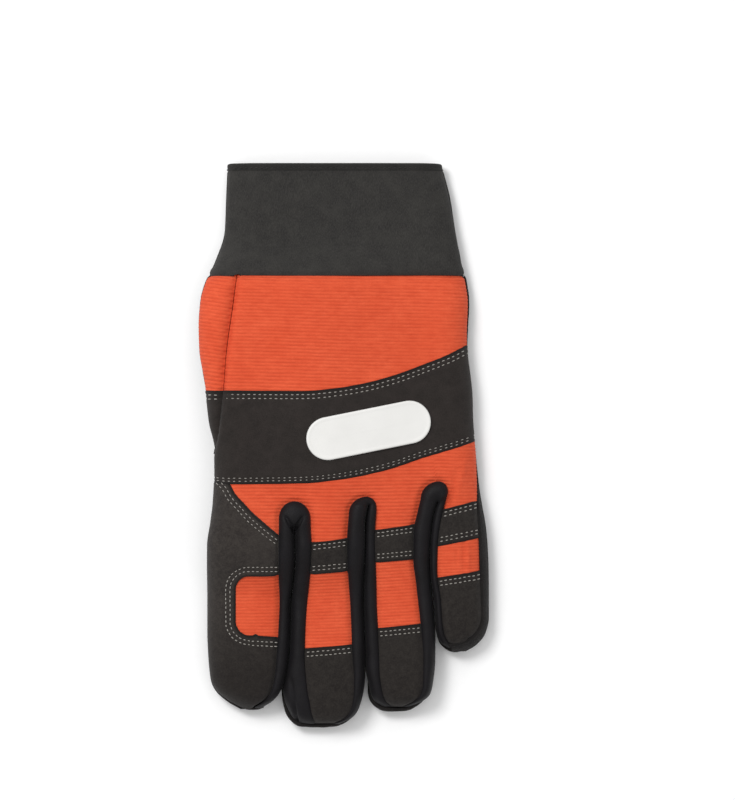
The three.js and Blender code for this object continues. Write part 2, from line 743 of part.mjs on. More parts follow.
// A strip runs from one fingertip to the crotch, turns round it, and runs to the next fingertip
function forkSheet(fork) {
  const leftRun = [...sectionsBelow(FINGERS[fork.left], fork.crotch)].reverse();
  const rightRun = sectionsBelow(FINGERS[fork.right], fork.crotch);
  const rows = leftRun.length + CROTCH_STEPS + rightRun.length;
  const columns = FORK_COLUMNS.roll + FORK_COLUMNS.side + FORK_COLUMNS.foot;
  const place = (u, v) => {
    const row = v * rows;
    if (row < leftRun.length) {
      return forkPlace(fork, u, heightAt([...leftRun, fork.crotch], row / leftRun.length), true);
    }
    if (row > leftRun.length + CROTCH_STEPS) {
      const run = (row - leftRun.length - CROTCH_STEPS) / rightRun.length;
      return forkPlace(fork, u, heightAt([fork.crotch, ...rightRun], run), false);
    }
    return crotchPlace(fork, u, (Math.PI * (row - leftRun.length)) / CROTCH_STEPS);
  };
  const heights = [...leftRun, fork.crotch, ...rightRun];
  const wall = (v) => {
    const row = Math.round(v * rows);
    const turned = Math.min(Math.max(row - leftRun.length, 0), CROTCH_STEPS);
    const finger = FINGERS[turned === 0 ? fork.left : fork.right];
    return FORK_WALL * Math.min(1, openness(finger, heights[row - turned]) / FORK_FULL_WALL);
  };
  return sheet(place, columns, rows, wall, 1);
}

function crotchPlace(fork, share, angle) {
  const reach = forkReach(fork, angle);
  const centre = forkCentre(fork);
  const seamX = centre - Math.cos(angle) * reach;
  const seamY = fork.crotch + Math.sin(angle) * reach;
  const floor = palmHeight(centre, fork.crotch);
  const turn = look(FORK_TURN, 'angle', fork.crotch);
  const [out, height] = forkProfile(share, reach, backHeight(seamX, seamY), floor, turn);
  return new THREE.Vector3(centre - Math.cos(angle) * out, fork.crotch + Math.sin(angle) * out, height);
}

function forkPlace(fork, share, y, onLeft) {
  const finger = FINGERS[onLeft ? fork.left : fork.right];
  const outer = look(finger.rows, onLeft ? 'right' : 'left', y);
  const seam = look(finger.rows, onLeft ? 'seamRight' : 'seamLeft', y);
  const way = Math.sign(seam - outer);
  const open = openness(finger, y);
  const mid = seamHeight(outer, y);
  const level = (height) => mid + (height - mid) / open;
  const seamTop = level(backHeight(seam, y));
  const floor = level(palmHeight(outer, y));
  const turn = look(FORK_TURN, 'angle', y);
  const profile = forkProfile(share, Math.abs(seam - outer), seamTop, floor, turn);
  return new THREE.Vector3(outer + way * profile[0], y, mid + (profile[1] - mid) * open);
}

function addForks() {
  for (const fork of FORKS) {
    add(fork.name, forkSheet(fork), 'fork');
  }
}

// Palm

function footHole(fork) {
  const radius = FORK_FOOT + FINGER_SPACE + 1.7 * SEAM;
  const centre = forkCentre(fork);
  const heights = [-45, -40, -36, -31.4];
  const points = [];
  for (const y of heights) {
    if (y < fork.crotch) points.push([look(FINGERS[fork.left].rows, 'right', y) - radius, y]);
  }
  for (let i = 0; i <= 10; i += 1) {
    const angle = (Math.PI * i) / 10;
    points.push([centre - radius * Math.cos(angle), fork.crotch + radius * Math.sin(angle)]);
  }
  for (const y of heights.reverse()) {
    if (y < fork.crotch) points.push([look(FINGERS[fork.right].rows, 'left', y) + radius, y]);
  }
  return points;
}

function ovalOutline(oval, grow) {
  const points = [];
  for (let i = 0; i < 24; i += 1) {
    const angle = (2 * Math.PI * i) / 24;
    const x = oval.x + (oval.halfWidth + grow) * Math.cos(angle);
    points.push([x, oval.y + (oval.halfLength + grow) * Math.sin(angle)]);
  }
  return points;
}

function addPalm() {
  const left = sideOf('left');
  const right = sideOf('right');
  const lowest = Math.min(...Object.values(PALM_ROOT));
  const top = level(WRIST_SEAM - SEAM / 2);
  const place = handSheet(palmPoint, left, right, top, level(lowest), 'both');
  let solid = toManifold(sheet(place, HAND_COLUMNS, 9, PALM_WALL, 1));
  for (const fork of FORKS) {
    solid = solid.subtract(prism(footHole(fork)));
  }
  for (const finger of FINGERS) {
    const root = PALM_ROOT[finger.name];
    const from = look(finger.rows, 'left', root) - 6;
    const to = look(finger.rows, 'right', root) + 6;
    const below = [[from, root], [to, root], [to, root - 20], [from, root - 20]];
    solid = solid.subtract(prism(below));
  }
  solid = solid.subtract(prism(ovalOutline(THUMB_HOLE, 0)));
  add('palm', fromManifold(solid), 'palm');
  for (const finger of FINGERS) {
    addFingerPalm(finger);
  }
}

function addFingerPalm(finger) {
  const margin = FINGER_SPACE + FORK_FOOT + SEAM;
  const ease = { index: 'left', little: 'right' }[finger.name] ?? 'none';
  const start = PALM_ROOT[finger.name] - SEAM;
  const heights = [start, ...sectionsBelow(finger, start)];
  const place = (u, v) => {
    const y = heightAt(heights, v);
    const forkLeft = look(finger.rows, 'left', y) + margin;
    const forkRight = look(finger.rows, 'right', y) - margin;
    const left = finger.name === 'index' ? gloveSide('left', y) : forkLeft;
    const right = finger.name === 'little' ? gloveSide('right', y) : forkRight;
    return palmPoint(lerp(left, right, easeAcross(u, ease)), y);
  };
  const wall = (v) => (v < 1 ? PALM_WALL : PALM_WALL * TIP_THINNING);
  add(`palm_${finger.name}`, sheet(place, 5, heights.length - 1, wall, 1), 'palm');
}

// Thumb

// A flat closed pouch along the line from heel to toe, shrunk by a wall thickness
function pouch(shrink) {
  const geometry = new THREE.SphereGeometry(1, 18, 12);
  const position = geometry.attributes.position;
  const heel = new THREE.Vector2(THUMB_HEEL.x, THUMB_HEEL.y);
  const toe = new THREE.Vector2(THUMB_TOE.x, THUMB_TOE.y);
  const axis = toe.clone().sub(heel);
  const length = axis.length();
  const forward = axis.clone().normalize();
  const sideways = new THREE.Vector2(forward.y, -forward.x);
  const centre = heel.clone().add(toe).multiplyScalar(0.5);
  const square = (value, power) => Math.sign(value) * Math.abs(value) ** power;
  for (let i = 0; i < position.count; i += 1) {
    const along = square(position.getY(i), 0.85);
    const side = position.getX(i);
    const up = position.getZ(i);
    const ring = Math.sqrt(Math.max(0, 1 - position.getY(i) ** 2));
    const open = ring ** 0.42;
    const width = (look(THUMB_WIDTH, 'half', (along + 1) / 2) - shrink) * open;
    const height = (THUMB_HEIGHT / 2 - shrink) * open;
    const [across, upward] = ring > 1e-6 ? [side / ring, up / ring] : [0, 0];
    const reach = along * (length / 2 - shrink);
    const x = centre.x + forward.x * reach + sideways.x * square(across, 0.8) * width;
    const y = centre.y + forward.y * reach + sideways.y * square(across, 0.8) * width;
    position.setXYZ(i, x, y, THUMB_HEIGHT / 2 + square(upward, 0.55) * height);
  }
  return toManifold(geometry);
}

// A flat block wider than the glove, between two heights
function slab(from, to) {
  const width = 400;
  const geometry = new THREE.BoxGeometry(width, width, to - from);
  geometry.translate(0, 0, (from + to) / 2);
  return toManifold(geometry);
}

function addThumb() {
  const shell = pouch(0).subtract(pouch(THUMB_WALL));
  const middle = THUMB_HEIGHT / 2;
  const opening = prism(ovalOutline(THUMB_HOLE, 0)).intersect(slab(middle, 30));
  const upper = shell.intersect(slab(middle + SEAM / 2, 20)).subtract(opening);
  const lower = shell.intersect(slab(-5, middle - SEAM / 2));
  add('thumb_upper', fromManifold(upper), 'palm');
  add('thumb_lower', fromManifold(lower), 'palm');
}

addCuff();
addHandBack();
addPatch();
addLowerBack();
addIndexPanel();
addFingerBacks();
addForks();
addPalm();
addThumb();

export default group;
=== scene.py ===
# A left work glove lying flat on its palm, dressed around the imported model: ribbed orange knit, dark
# suede panels with double stitching, puffy fourchettes, a leather palm and a stretch cuff.
# Places and sizes are in millimetres in the model's frame until a mesh is made, then in metres.

import math

import bmesh
import bpy
import numpy as np
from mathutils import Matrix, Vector


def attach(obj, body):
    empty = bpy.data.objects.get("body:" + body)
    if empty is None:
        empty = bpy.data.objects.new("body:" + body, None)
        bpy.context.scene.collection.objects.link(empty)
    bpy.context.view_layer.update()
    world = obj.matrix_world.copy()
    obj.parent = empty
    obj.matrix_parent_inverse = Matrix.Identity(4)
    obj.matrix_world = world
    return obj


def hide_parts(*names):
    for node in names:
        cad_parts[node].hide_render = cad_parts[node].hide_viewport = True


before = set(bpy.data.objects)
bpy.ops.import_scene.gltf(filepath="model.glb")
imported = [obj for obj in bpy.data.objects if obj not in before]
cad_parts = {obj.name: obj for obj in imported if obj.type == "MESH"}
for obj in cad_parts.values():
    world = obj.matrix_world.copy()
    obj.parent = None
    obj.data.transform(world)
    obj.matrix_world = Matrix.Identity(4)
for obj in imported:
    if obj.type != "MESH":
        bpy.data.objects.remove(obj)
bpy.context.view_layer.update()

MM = 0.001

# Form of the lying glove, as in the model: the height of its side seams, how the back and the palm
# round off towards them and towards the tips, and where the thumb under the palm lifts it
SIDE_SEAM_HEIGHT = 6.0
TIP_SHARE = 0.15
TIP_LENGTH = 19.0
TIP_END = 0.5
BACK_EDGE_RISE = 0.3
PALM_EDGE_DROP = 0.25
BACK_EDGE_REACH = 14.0
PALM_EDGE_REACH = 10.0
THUMB_HEIGHT = 9.2
THUMB_LIFT = 9.6
LIFT_X = (-24.0, 44.0)
LIFT_CUFF_Y = (95.0, 70.0)
LIFT_FINGER_Y = (-72.0, -45.0)
FINGERS_START = -34.3
CUFF_TOP = 128.9
HEM_WIDTH = 3.4
WRIST_SEAM = 77.6

# Cloth and leather
KNIT_WALL = 1.2
SUEDE_WALL = 0.9
FORK_WALL = 1.1
PALM_WALL = 1.4
CUFF_WALL = 1.5
HEM_WALL = 2.4
HEM_RISE = 0.45
HEM_ROW = 1.1
THUMB_WALL = 1.4
PANEL_RISE = 0.5
FOLD_ROUND = 0.5
RIB_STEP = 0.21

# Ribs of the knit on each part of the back: distance from rib to rib, and their rise
HAND_RIBS = (1.57, 0.07)
THUMB_SIDE_RIBS = (1.7, 0.075)
LOWER_RIBS = (1.6, 0.08)
FINGER_RIBS = (1.45, 0.04)

# Stitching: distances of the two rows from a panel's folded edge, and the stitches' own measures
BAND_TOP_ROWS = (1.7, 3.5)
BAND_BOTTOM_ROWS = (1.4, 2.7)
DIAGONAL_ROWS = (2.2, 4.0)
WINDOW_ROWS = (2.5, 4.4)
KNUCKLE_TOP_ROWS = (1.4, 3.1)
KNUCKLE_BOTTOM_ROWS = (2.1, 3.8)
CAP_ROWS = (1.8, 3.7)
STITCH_PITCH = 2.45
STITCH_LENGTH = 1.25
STITCH_RADIUS = 0.21
STITCH_DIP = 0.24
STITCH_RISE = PANEL_RISE - STITCH_DIP + 0.1

# A folded edge stops short of its line by FOLD_GAP, a sheet goes on under its neighbour by TUCK, and
# the thumb side seam stands open by twice SEAM_GAP. FAR stands for no limit. Stitches and the palm
# stay LOWEST clear of the floor
FOLD_GAP = 0.12
SEAM_GAP = 0.08
TUCK = 1.4
FAR = 1e6
LOWEST = 0.02

# Distances from a fold, a tucked end, a seam and a side at which a piece has rows or columns
FOLD = FOLD_GAP + np.array([
    -0.12, 0, 0.05, 0.14, 0.27, 0.42, 0.6, 0.85, 1.15, 1.45, 1.7, 1.95, 2.25, 2.7, 3.1, 3.4, 3.65, 3.9,
    4.3, 5.0,
])
TUCKED = [0, 0.3, 0.6, 0.9, 1.2, 1.4]
SEAM = [-1.3, -0.8, -0.4, 0, 0.35, 0.7, 1.1, 1.6, 2.3, 3.2]
FROM_SEAM = SEAM[3:]
SIDE = [0, 0.02, 0.08, 0.2, 0.4, 0.7, 1.1, 1.6, 2.2, 3.0, 4.0, 5.2, 6.6, 8.2, 10.0]


# Tables and curves

def table(names, rows):
    """Columns of numbers against the first one, with the slopes of a smooth curve through them."""
    values = np.array(sorted(rows), float)
    at = values[:, 0]
    columns = {}
    for name, column in zip(names.split()[1:], values[:, 1:].T):
        slopes = np.diff(column) / np.diff(at)
        before, after = slopes[:-1], slopes[1:]
        total = np.where(before + after == 0, 1, before + after)
        inner = np.where(before * after <= 0, 0, 2 * before * after / total)
        columns[name] = (column, np.concatenate([slopes[:1], inner, slopes[-1:]]))
    return at, columns


def look(source, name, at):
    """Smooth value of a column, held constant past the first and last rows."""
    keys, columns = source
    values, slopes = columns[name]
    at = np.clip(np.asarray(at, float), keys[0], keys[-1])
    i = np.clip(np.searchsorted(keys, at, side="right") - 1, 0, len(keys) - 2)
    span = keys[i + 1] - keys[i]
    t = (at - keys[i]) / span
    rise = (t**3 - 2 * t * t + t) * slopes[i] + (t**3 - t * t) * slopes[i + 1]
    return values[i] + (values[i + 1] - values[i]) * t * t * (3 - 2 * t) + rise * span


def lerp(a, b, t):
    return a + (b - a) * t


def ramp(value, start, end):
    """0 at start, 1 at end, with an eased run between."""
    t = np.clip((value - start) / (end - start), 0, 1)
    return t * t * (3 - 2 * t)


def bump(distance, width):
    return np.exp(-((distance / width) ** 2))


def uneven(x, y, size, seed):
    """Soft unevenness of about -1 to 1, with hills of a given size."""
    waves = np.random.default_rng(seed)
    count = 7
    total = 0.0
    for _ in range(count):
        angle, phase = waves.uniform(0, 2 * math.pi, 2)
        length = size * waves.uniform(1.2, 2.6)
        along = x * math.cos(angle) + y * math.sin(angle)
        total = total + np.sin(2 * math.pi * along / length + phase)
    return total / (count / 2)


CROWN = table("y height", [
    (128.9, 8.0), (100, 8.2), (78, 9.6), (58, 11.4), (25, 12.0), (-30, 11.6), (-60, 11.2),
    (-100, 10.8), (-130, 10.6),
])
SIDES = table("y left right", [
    (128.9, -52.8, 44.4), (124, -53.1, 45.9), (112.9, -53.6, 48.7), (98.3, -54.2, 51.0),
    (83.6, -58.6, 53.7), (73.6, -63.0, 56.0), (65.8, -65.1, 56.9), (54.4, -66.2, 56.6),
    (44.8, -66.0, 56.5), (24.9, -62.7, 58.4), (11.4, -61.3, 59.0), (-3.7, -58.6, 60.4),
    (-15.1, -58.6, 61.0), (-26.5, -59.2, 62.6), (-34.3, -60.1, 64.1),
])

# Each finger's two sides, and the seams on its back; at the hand's sides, seam and side are one
INDEX = table("y left seamLeft seamRight right", [(y, left, left, seam, right) for y, left, seam, right in (
    (-22.0, -58.9, -29.3, -22.2), (-34.3, -60.1, -29.3, -22.2), (-45.7, -61.7, -29.5, -22.0),
    (-59.4, -61.9, -29.5, -22.6), (-70.8, -61.9, -29.2, -24.0), (-85.9, -61.9, -29.8, -24.4),
    (-96.0, -61.5, -30.6, -24.9), (-103.3, -60.9, -31.2, -25.6), (-108.5, -60.1, -32.0, -26.8),
    (-112.4, -58.1, -33.0, -28.6), (-117.0, -53.0, -36.0, -31.8), (-120.6, -46.7, -40.6, -36.6),
)])
MIDDLE = table("y left seamLeft seamRight right", [
    (-24.6, -22.2, -15.0, 3.4, 12.1), (-30.2, -22.2, -15.0, 2.6, 10.7),
    (-36.0, -22.2, -14.9, 2.1, 9.9), (-45.7, -22.0, -14.4, 1.6, 9.8),
    (-52.6, -21.9, -14.6, 1.7, 9.6), (-62.6, -22.9, -15.5, 2.4, 9.3),
    (-74.0, -24.2, -16.7, 3.2, 9.3), (-85.9, -24.4, -17.4, 3.7, 9.7),
    (-96.0, -25.0, -17.6, 4.0, 10.0), (-106.0, -27.2, -17.0, 4.7, 10.0),
    (-112.0, -28.6, -16.7, 4.7, 9.4), (-117.0, -28.3, -16.0, 4.2, 8.3),
    (-122.2, -26.8, -15.3, 2.8, 6.4), (-126.0, -24.9, -14.4, 0.2, 3.6),
    (-128.7, -21.6, -13.5, -4.6, -1.6),
])
RING = table("y left seamLeft seamRight right", [
    (-24.6, 12.1, 16.6, 35.2, 43.6), (-31.4, 10.5, 15.0, 33.6, 41.3),
    (-40.0, 9.9, 14.5, 31.9, 40.0), (-51.2, 9.6, 14.7, 31.8, 39.3),
    (-62.6, 9.3, 15.1, 33.1, 40.1), (-74.0, 9.3, 15.3, 34.4, 41.3),
    (-86.4, 9.6, 16.0, 35.6, 42.1), (-98.3, 9.8, 16.5, 36.2, 42.1),
    (-109.2, 10.6, 16.7, 36.2, 41.0), (-114.0, 10.9, 17.2, 35.0, 39.8),
    (-118.0, 12.3, 18.4, 32.2, 36.6), (-121.3, 16.2, 21.4, 27.0, 30.6),
])
LITTLE = table("y left seamLeft seamRight right", [(y, left, seam, right, right) for y, left, seam, right in (
    (-24.6, 43.6, 47.0, 62.3), (-31.4, 41.3, 45.2, 63.6), (-38.8, 40.1, 43.9, 64.7),
    (-45.7, 39.6, 43.2, 65.3), (-57.1, 39.6, 42.8, 65.8), (-70.8, 41.4, 44.6, 65.9),
    (-79.1, 42.0, 45.2, 65.9), (-86.0, 42.2, 46.0, 64.4), (-91.0, 43.8, 48.0, 60.6),
    (-94.2, 47.6, 51.0, 55.4),
)])
NAMES = ["index", "middle", "ring", "little"]
ROWS = [INDEX, MIDDLE, RING, LITTLE]
TIPS = [-121.6, -129.2, -121.9, -94.7]
TIPS_PART = -96.0

# Seams and edges across the back
THUMB_SIDE_SEAM = table("y x", [
    (78, -48.5), (64.5, -50.1), (44.9, -52.9), (24.9, -55.0), (11.4, -56.6), (3, -58.0), (-6.4, -59.6),
])
BAND_TOP = table("x y", [
    (-66, 24.9), (-18.8, 24.7), (-4.8, 25.8), (9.2, 28.1), (23.2, 31.9), (37.2, 37.0), (46.5, 40.7),
    (58, 46.6),
])
BAND_BOTTOM = table("x y", [
    (-62, -17.3), (-54.6, -17.6), (-51.4, -17.7), (-18.8, -17.2), (-0.1, -15.4), (18.5, -11.6),
    (37.2, -5.5), (51.2, -1.4), (61, 1.9),
])
INDEX_EDGE_POINTS = [
    (-11, -59.0), (-14.6, -54.6), (-18.4, -51.1), (-22, -49.2), (-27, -44.7), (-30, -42.1),
    (-34.5, -37.2), (-40.4, -29.9), (-44.0, -24.0),
]
INDEX_EDGE = table("y x", INDEX_EDGE_POINTS)
INDEX_EDGE_DOWN = table("x y", [(x, y) for y, x in INDEX_EDGE_POINTS])

# Edges across the middle, ring and little fingers: their y at the left and at the right seam
KNUCKLE_TOP = [None, (-44.2, -42.4), (-38.7, -36.3), (-29.2, -25.2)]
KNUCKLE_BOTTOM = [None, (-59.0, -57.5), (-53.5, -52.1), (-46.2, -42.4)]
CAP_EDGE = [None, (-92.8, -90.9), (-83.5, -81.5), (-60.5, -57.4)]

# The orange window in the index finger's panel; its lower edge slants from left to right
WINDOW_SLANT = 20.0
WINDOW = {"left": -49.1, "top": -59.7, "bottom": (-86.5, -87.6), "corner": 6.0}

# Leather that comes round the little finger's side: where it starts, the x that the slanting edges
# of the finger's panels run to, and the leather's outer side and its seam on the back
STRIP_START = -14.0
LITTLE_STRIP_X = 62.0
EDGE_STRIP = table("share outerX outerY seamX seamY", [
    (0, 61.2, -14.5, 61.1, -14.5), (1, 62.3, -23.8, 61.3, -23.8), (2, 63.6, -31.4, 61.6, -31.4),
    (3, 65.3, -45.7, 62.4, -45.7), (4, 65.8, -57.1, 62.8, -57.1), (5, 65.9, -70.8, 63.2, -70.8),
    (6, 65.9, -79.1, 63.3, -78.9), (7, 64.4, -86.0, 61.4, -84.6), (8, 60.6, -91.0, 57.3, -88.6),
    (9, 55.4, -94.2, 52.6, -90.6), (10, 50.0, -94.4, 48.2, -91.2),
])

# Fourchettes: the finger to the left, the crotch, how far the round top reaches past it, and where
# the valley between the two rolls ends; then the gap between the rolls, the radius of the foot that
# turns under to the palm, and how a roll turns and rises along the fingers
FORKS = [
    {"name": "fourchette_index_middle", "left": 0, "crotch": -33.4, "reach": 8.0, "valley": -38.6},
    {"name": "fourchette_middle_ring", "left": 1, "crotch": -31.0, "reach": 7.6, "valley": -27.6},
    {"name": "fourchette_ring_little", "left": 2, "crotch": -24.6, "reach": 8.1, "valley": -26.4},
]
FORK_GAP = 0.03
FORK_FOOT = 3.0
ROLL_STEPS = 14
FORK_TURN = table("y angle crown", [
    (-20, 154, 3.2), (-36, 152, 3.0), (-55, 144, 2.5), (-80, 134, 1.8), (-110, 122, 1.1),
    (-130, 112, 0.6),
])

# Leather lips round the four fingertips: room made for them at the sides and at the end, how far
# they come up the left side, half width, distance in from the outline, and half height
LIP_SIDE = [0.5, 1.9, 1.7, 0.5]
LIP_END = [0.5, 1.0, 1.4, 1.0]
LIP_REACH = [16, 26, 20, 14]
LIP_THICK = [1.0, 1.2, 1.35, 1.1]
LIP_INSET = [1.05, 0.85, 0.95, 0.75]
LIP_HIGH = [1.6, 1.9, 2.4, 1.9]

# Creases of the first fourchette, each from where it is deepest: ends, width and depth
CREASES = [
    ((-22.2, -38.6), (-26.9, -31.6), 0.8, 2.1), ((-22.2, -38.6), (-17.7, -31.6), 0.8, 2.1),
    ((-21.0, -128.6), (-24.6, -104.0), 0.6, 1.5),
]

# Folds of the knit near the little finger: ends, width and rise
SIDE_FOLDS = [
    ((52.8, -10.0), (47.2, -29.0), 0.9, -1.3), ((55.4, -6.0), (50.6, -27.0), 1.4, 0.7),
    ((54.8, -42.5), (55.0, -59.0), 0.7, -1.0), ((56.9, -43.0), (57.1, -59.0), 0.9, 0.7),
    ((52.0, -44.5), (52.0, -56.0), 0.7, -0.7),
]

# Patch, with its middle and its turn in degrees; the palm's split at the finger roots; the thumb
PATCH = {"length": 57.4, "width": 19.6, "x": 11.5, "y": 6.8, "turn": 11.3}
PATCH_RISE = 1.7
PALM_ROOT = [-38.0, -36.0, -34.0, -30.0]
THUMB_HOLE = {"x": -44.0, "y": 37.0, "half_width": 10.5, "half_length": 15.0}
THUMB_HEEL = (-45.5, 55.0)
THUMB_TOE = (-33.5, -42.0)
THUMB_WIDTH = table("share half", [(0, 14.2), (0.35, 15.2), (0.7, 13.8), (1, 12.2)])


# The glove's form

def shoulder(inset, reach):
    """Share of the full height at a distance inside a side seam."""
    t = 1 - np.clip(inset / reach, 0, 1)
    return np.sqrt(1 - t**2.2)


def seam_height(x, y):
    """Height of the side seams, lifted where the thumb lies under the palm."""
    across = 1 - ramp(x, *LIFT_X)
    return SIDE_SEAM_HEIGHT + THUMB_LIFT * across * ramp(y, *LIFT_CUFF_Y) * ramp(y, *LIFT_FINGER_Y)


def finger_at(x, y):
    """The finger that a place belongs to, 0 for the index finger."""
    at = np.minimum(y, INDEX[0][-1])
    return sum((x > look(ROWS[i], "right", at)).astype(int) for i in range(3))


def per_finger(which, values):
    """The value that each place takes from its own finger."""
    return np.choose(which, values)


def openness(which, y):
    """How far a finger is open, closing to TIP_SHARE at its tip."""
    tip = per_finger(which, TIPS)
    t = np.clip((tip + TIP_LENGTH - y) / (TIP_LENGTH - TIP_END), 0, 1)
    return lerp(TIP_SHARE, 1, np.sqrt(1 - t**2.8))


def glove_side(column, y):
    """x of the whole glove's left or right side."""
    finger = INDEX if column == "left" else LITTLE
    return np.where(y > FINGERS_START, look(SIDES, column, y), look(finger, column, y))


def inside_seam(x, y, which):
    """Distance in from the glove's side seams, which only the outer fingers have."""
    on_hand = y > FINGERS_START
    from_left = np.where(on_hand | (which == 0), x - glove_side("left", y), FAR)
    from_right = np.where(on_hand | (which == 3), glove_side("right", y) - x, FAR)
    return np.minimum(from_left, from_right)


def finger_fall(which, x, y):
    """How much the back of a finger falls towards its seams."""
    start = per_finger(which, [look(rows, "seamLeft", y) for rows in ROWS])
    end = per_finger(which, [look(rows, "seamRight", y) for rows in ROWS])
    share = 2 * (x - start) / (end - start) - 1
    share = np.where(which == 0, np.maximum(share, 0), np.where(which == 3, np.minimum(share, 0), share))
    return 1.2 * np.minimum(1.3, share * share) * ramp(y, -8, -42)


def creases(x, y):
    """Depth of the broad creases at the thumb side seam and the wrist."""
    thumb = 1.3 * ramp(y, -4, 16) * bump(x - look(THUMB_SIDE_SEAM, "x", y), 3)
    wrist = 1.1 * bump(y - WRIST_SEAM, 4)
    return np.where(y > WRIST_SEAM, wrist, np.maximum(thumb, wrist))


def back_height(x, y, which=None):
    """Outer face of the back over a place in plan."""
    which = finger_at(x, y) if which is None else which
    opened = openness(which, y) * shoulder(inside_seam(x, y, which), BACK_EDGE_REACH)
    crown = look(CROWN, "height", y) - finger_fall(which, x, y) - creases(x, y)
    return seam_height(x, y) + lerp(BACK_EDGE_RISE, crown, opened)


def palm_height(x, y, which=None):
    """Under face of the palm over a place in plan."""
    which = finger_at(x, y) if which is None else which
    opened = openness(which, y) * shoulder(inside_seam(x, y, which), PALM_EDGE_REACH)
    return seam_height(x, y) - lerp(PALM_EDGE_DROP, SIDE_SEAM_HEIGHT, opened)


def on_face(height, x, y, rise, which=None):
    """Points a distance out from the back or the palm, square to it where it isn't too steep."""
    step = 0.02
    steepest_x, steepest_y = 4, 2
    z = height(x, y, which)
    slope_x = (height(x + step, y, which) - height(x - step, y, which)) / (2 * step)
    slope_y = (height(x, y + step, which) - height(x, y - step, which)) / (2 * step)
    slope_x = np.clip(slope_x, -steepest_x, steepest_x)
    slope_y = np.clip(slope_y, -steepest_y, steepest_y)
    way = 1 if height is back_height else -1
    length = np.sqrt(slope_x**2 + slope_y**2 + 1) * way
    return np.stack([x - rise * slope_x / length, y - rise * slope_y / length, z + rise / length], -1)


def two_sides(height, x, y, rises, which=None):
    """Outer and inner side of a sheet, each at its own distance out from the back or the palm."""
    return [on_face(height, x, y, rise, which) for rise in rises]


def run_along(path):
    """How far along a path in plan each of its points is."""
    return np.concatenate([[0], np.cumsum(np.hypot(*np.diff(path, axis=0).T))])


def walk(path, run, at):
    """Places on a path at given distances along it."""
    return np.stack([np.interp(at, run, path[:, 0]), np.interp(at, run, path[:, 1])], -1)


# Meshes

def make_piece(name, points, faces, material, nodes, weave=None):
    """A piece of the glove: its mesh in metres, its material, and what it stands for."""
    mesh = bpy.data.meshes.new(name)
    mesh.from_pydata((np.asarray(points) * MM).tolist(), [], faces)
    if weave is not None:
        layer = mesh.uv_layers.new(name="weave")
        corners = np.zeros(len(mesh.loops), np.int32)
        mesh.loops.foreach_get("vertex_index", corners)
        layer.uv.foreach_set("vector", np.asarray(weave, np.float32)[corners].ravel())
    build = bmesh.new()
    build.from_mesh(mesh)
    bmesh.ops.remove_doubles(build, verts=build.verts, dist=2e-6)
    loose = [v for v in build.verts if not v.link_faces]
    bmesh.ops.delete(build, geom=loose, context="VERTS")
    bmesh.ops.recalc_face_normals(build, faces=build.faces)
    build.to_mesh(mesh)
    build.free()
    mesh.shade_smooth()
    mesh.materials.append(material)
    piece = bpy.data.objects.new(name, mesh)
    bpy.context.scene.collection.objects.link(piece)
    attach(piece, "root")
    if nodes:
        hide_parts(*nodes)


def grid_faces(rows, columns, keep=None):
    """Faces of a closed sheet between two grids of points: both sides, and rims round what is kept."""
    keep = np.ones((rows - 1, columns - 1), bool) if keep is None else keep
    at = np.arange(rows * columns).reshape(rows, columns)
    a, b, c, d = at[:-1, :-1], at[:-1, 1:], at[1:, 1:], at[1:, :-1]
    under = rows * columns
    outer = np.stack([a, b, c, d], -1)[keep]
    faces = [outer, outer[:, ::-1] + under]
    padded = np.pad(keep, 1)
    middle = padded[1:-1, 1:-1]
    for shift, one, two in (((0, 1), a, b), ((2, 1), d, c), ((1, 0), a, d), ((1, 2), b, c)):
        beside = padded[shift[0] : shift[0] + rows - 1, shift[1] : shift[1] + columns - 1]
        open_edge = middle & ~beside
        p, q = one[open_edge], two[open_edge]
        faces.append(np.stack([p, q, q + under, p + under], -1))
    return np.concatenate(faces).tolist()


def closed_rings(rings, count, start=0):
    """Faces of a body of rings with an even count of points each, closed at both ends."""
    at = start + np.arange(rings * count).reshape(rings, count)
    beside = np.roll(at, -1, axis=1)
    faces = np.stack([at[:-1], beside[:-1], beside[1:], at[1:]], -1).reshape(-1, 4).tolist()
    for ring in (at[0].tolist(), at[-1].tolist()):
        for j in range(count // 2 - 1):
            faces.append([ring[j], ring[j + 1], ring[-2 - j], ring[-1 - j]])
    return faces


def sheet(name, sides, material, nodes, weave=None, keep=None):
    """A closed sheet between its outer and its inner side."""
    rows, columns = sides[0].shape[:2]
    points = np.concatenate([points.reshape(-1, 3) for points in sides])
    if weave is not None:
        weave = np.concatenate([weave.reshape(-1, 2)] * 2)
    make_piece(name, points, grid_faces(rows, columns, keep), material, nodes, weave)


def places(start, end, first, step, last):
    """Places from start to end: some at set distances from each, and even steps between."""
    start, end = np.asarray(start, float), np.asarray(end, float)
    way = np.sign(np.mean(end - start))
    inner = start + way * first[-1]
    outer = end - way * last[-1]
    count = max(2, int(math.ceil(float(np.max(np.abs(outer - inner))) / step)))
    middle = [lerp(inner, outer, i / count) for i in range(1, count)]
    return np.array([start + way * d for d in first] + middle + [end - way * d for d in reversed(last)])


def shares_across(width, first, step, last):
    """Shares of the way across a piece about that wide."""
    return places(0.0, width, first, step, last) / width


def plan_grid(left, right, top, bottom, shares, first, step, last):
    """Places in plan between two sides, each a function of y, and two ends, each a function of x."""
    shares = np.asarray(shares)[None, :]
    middle = (top(0.0) + bottom(0.0)) / 2
    x = lerp(left(middle), right(middle), shares[0])
    y = places(top(x), bottom(x), first, step, last)
    down = (top(x) - y) / (top(x) - bottom(x))
    for _ in range(4):
        x = lerp(left(y), right(y), shares)
        y = lerp(top(x[0]), bottom(x[-1]), down)
    return lerp(left(y), right(y), shares), y


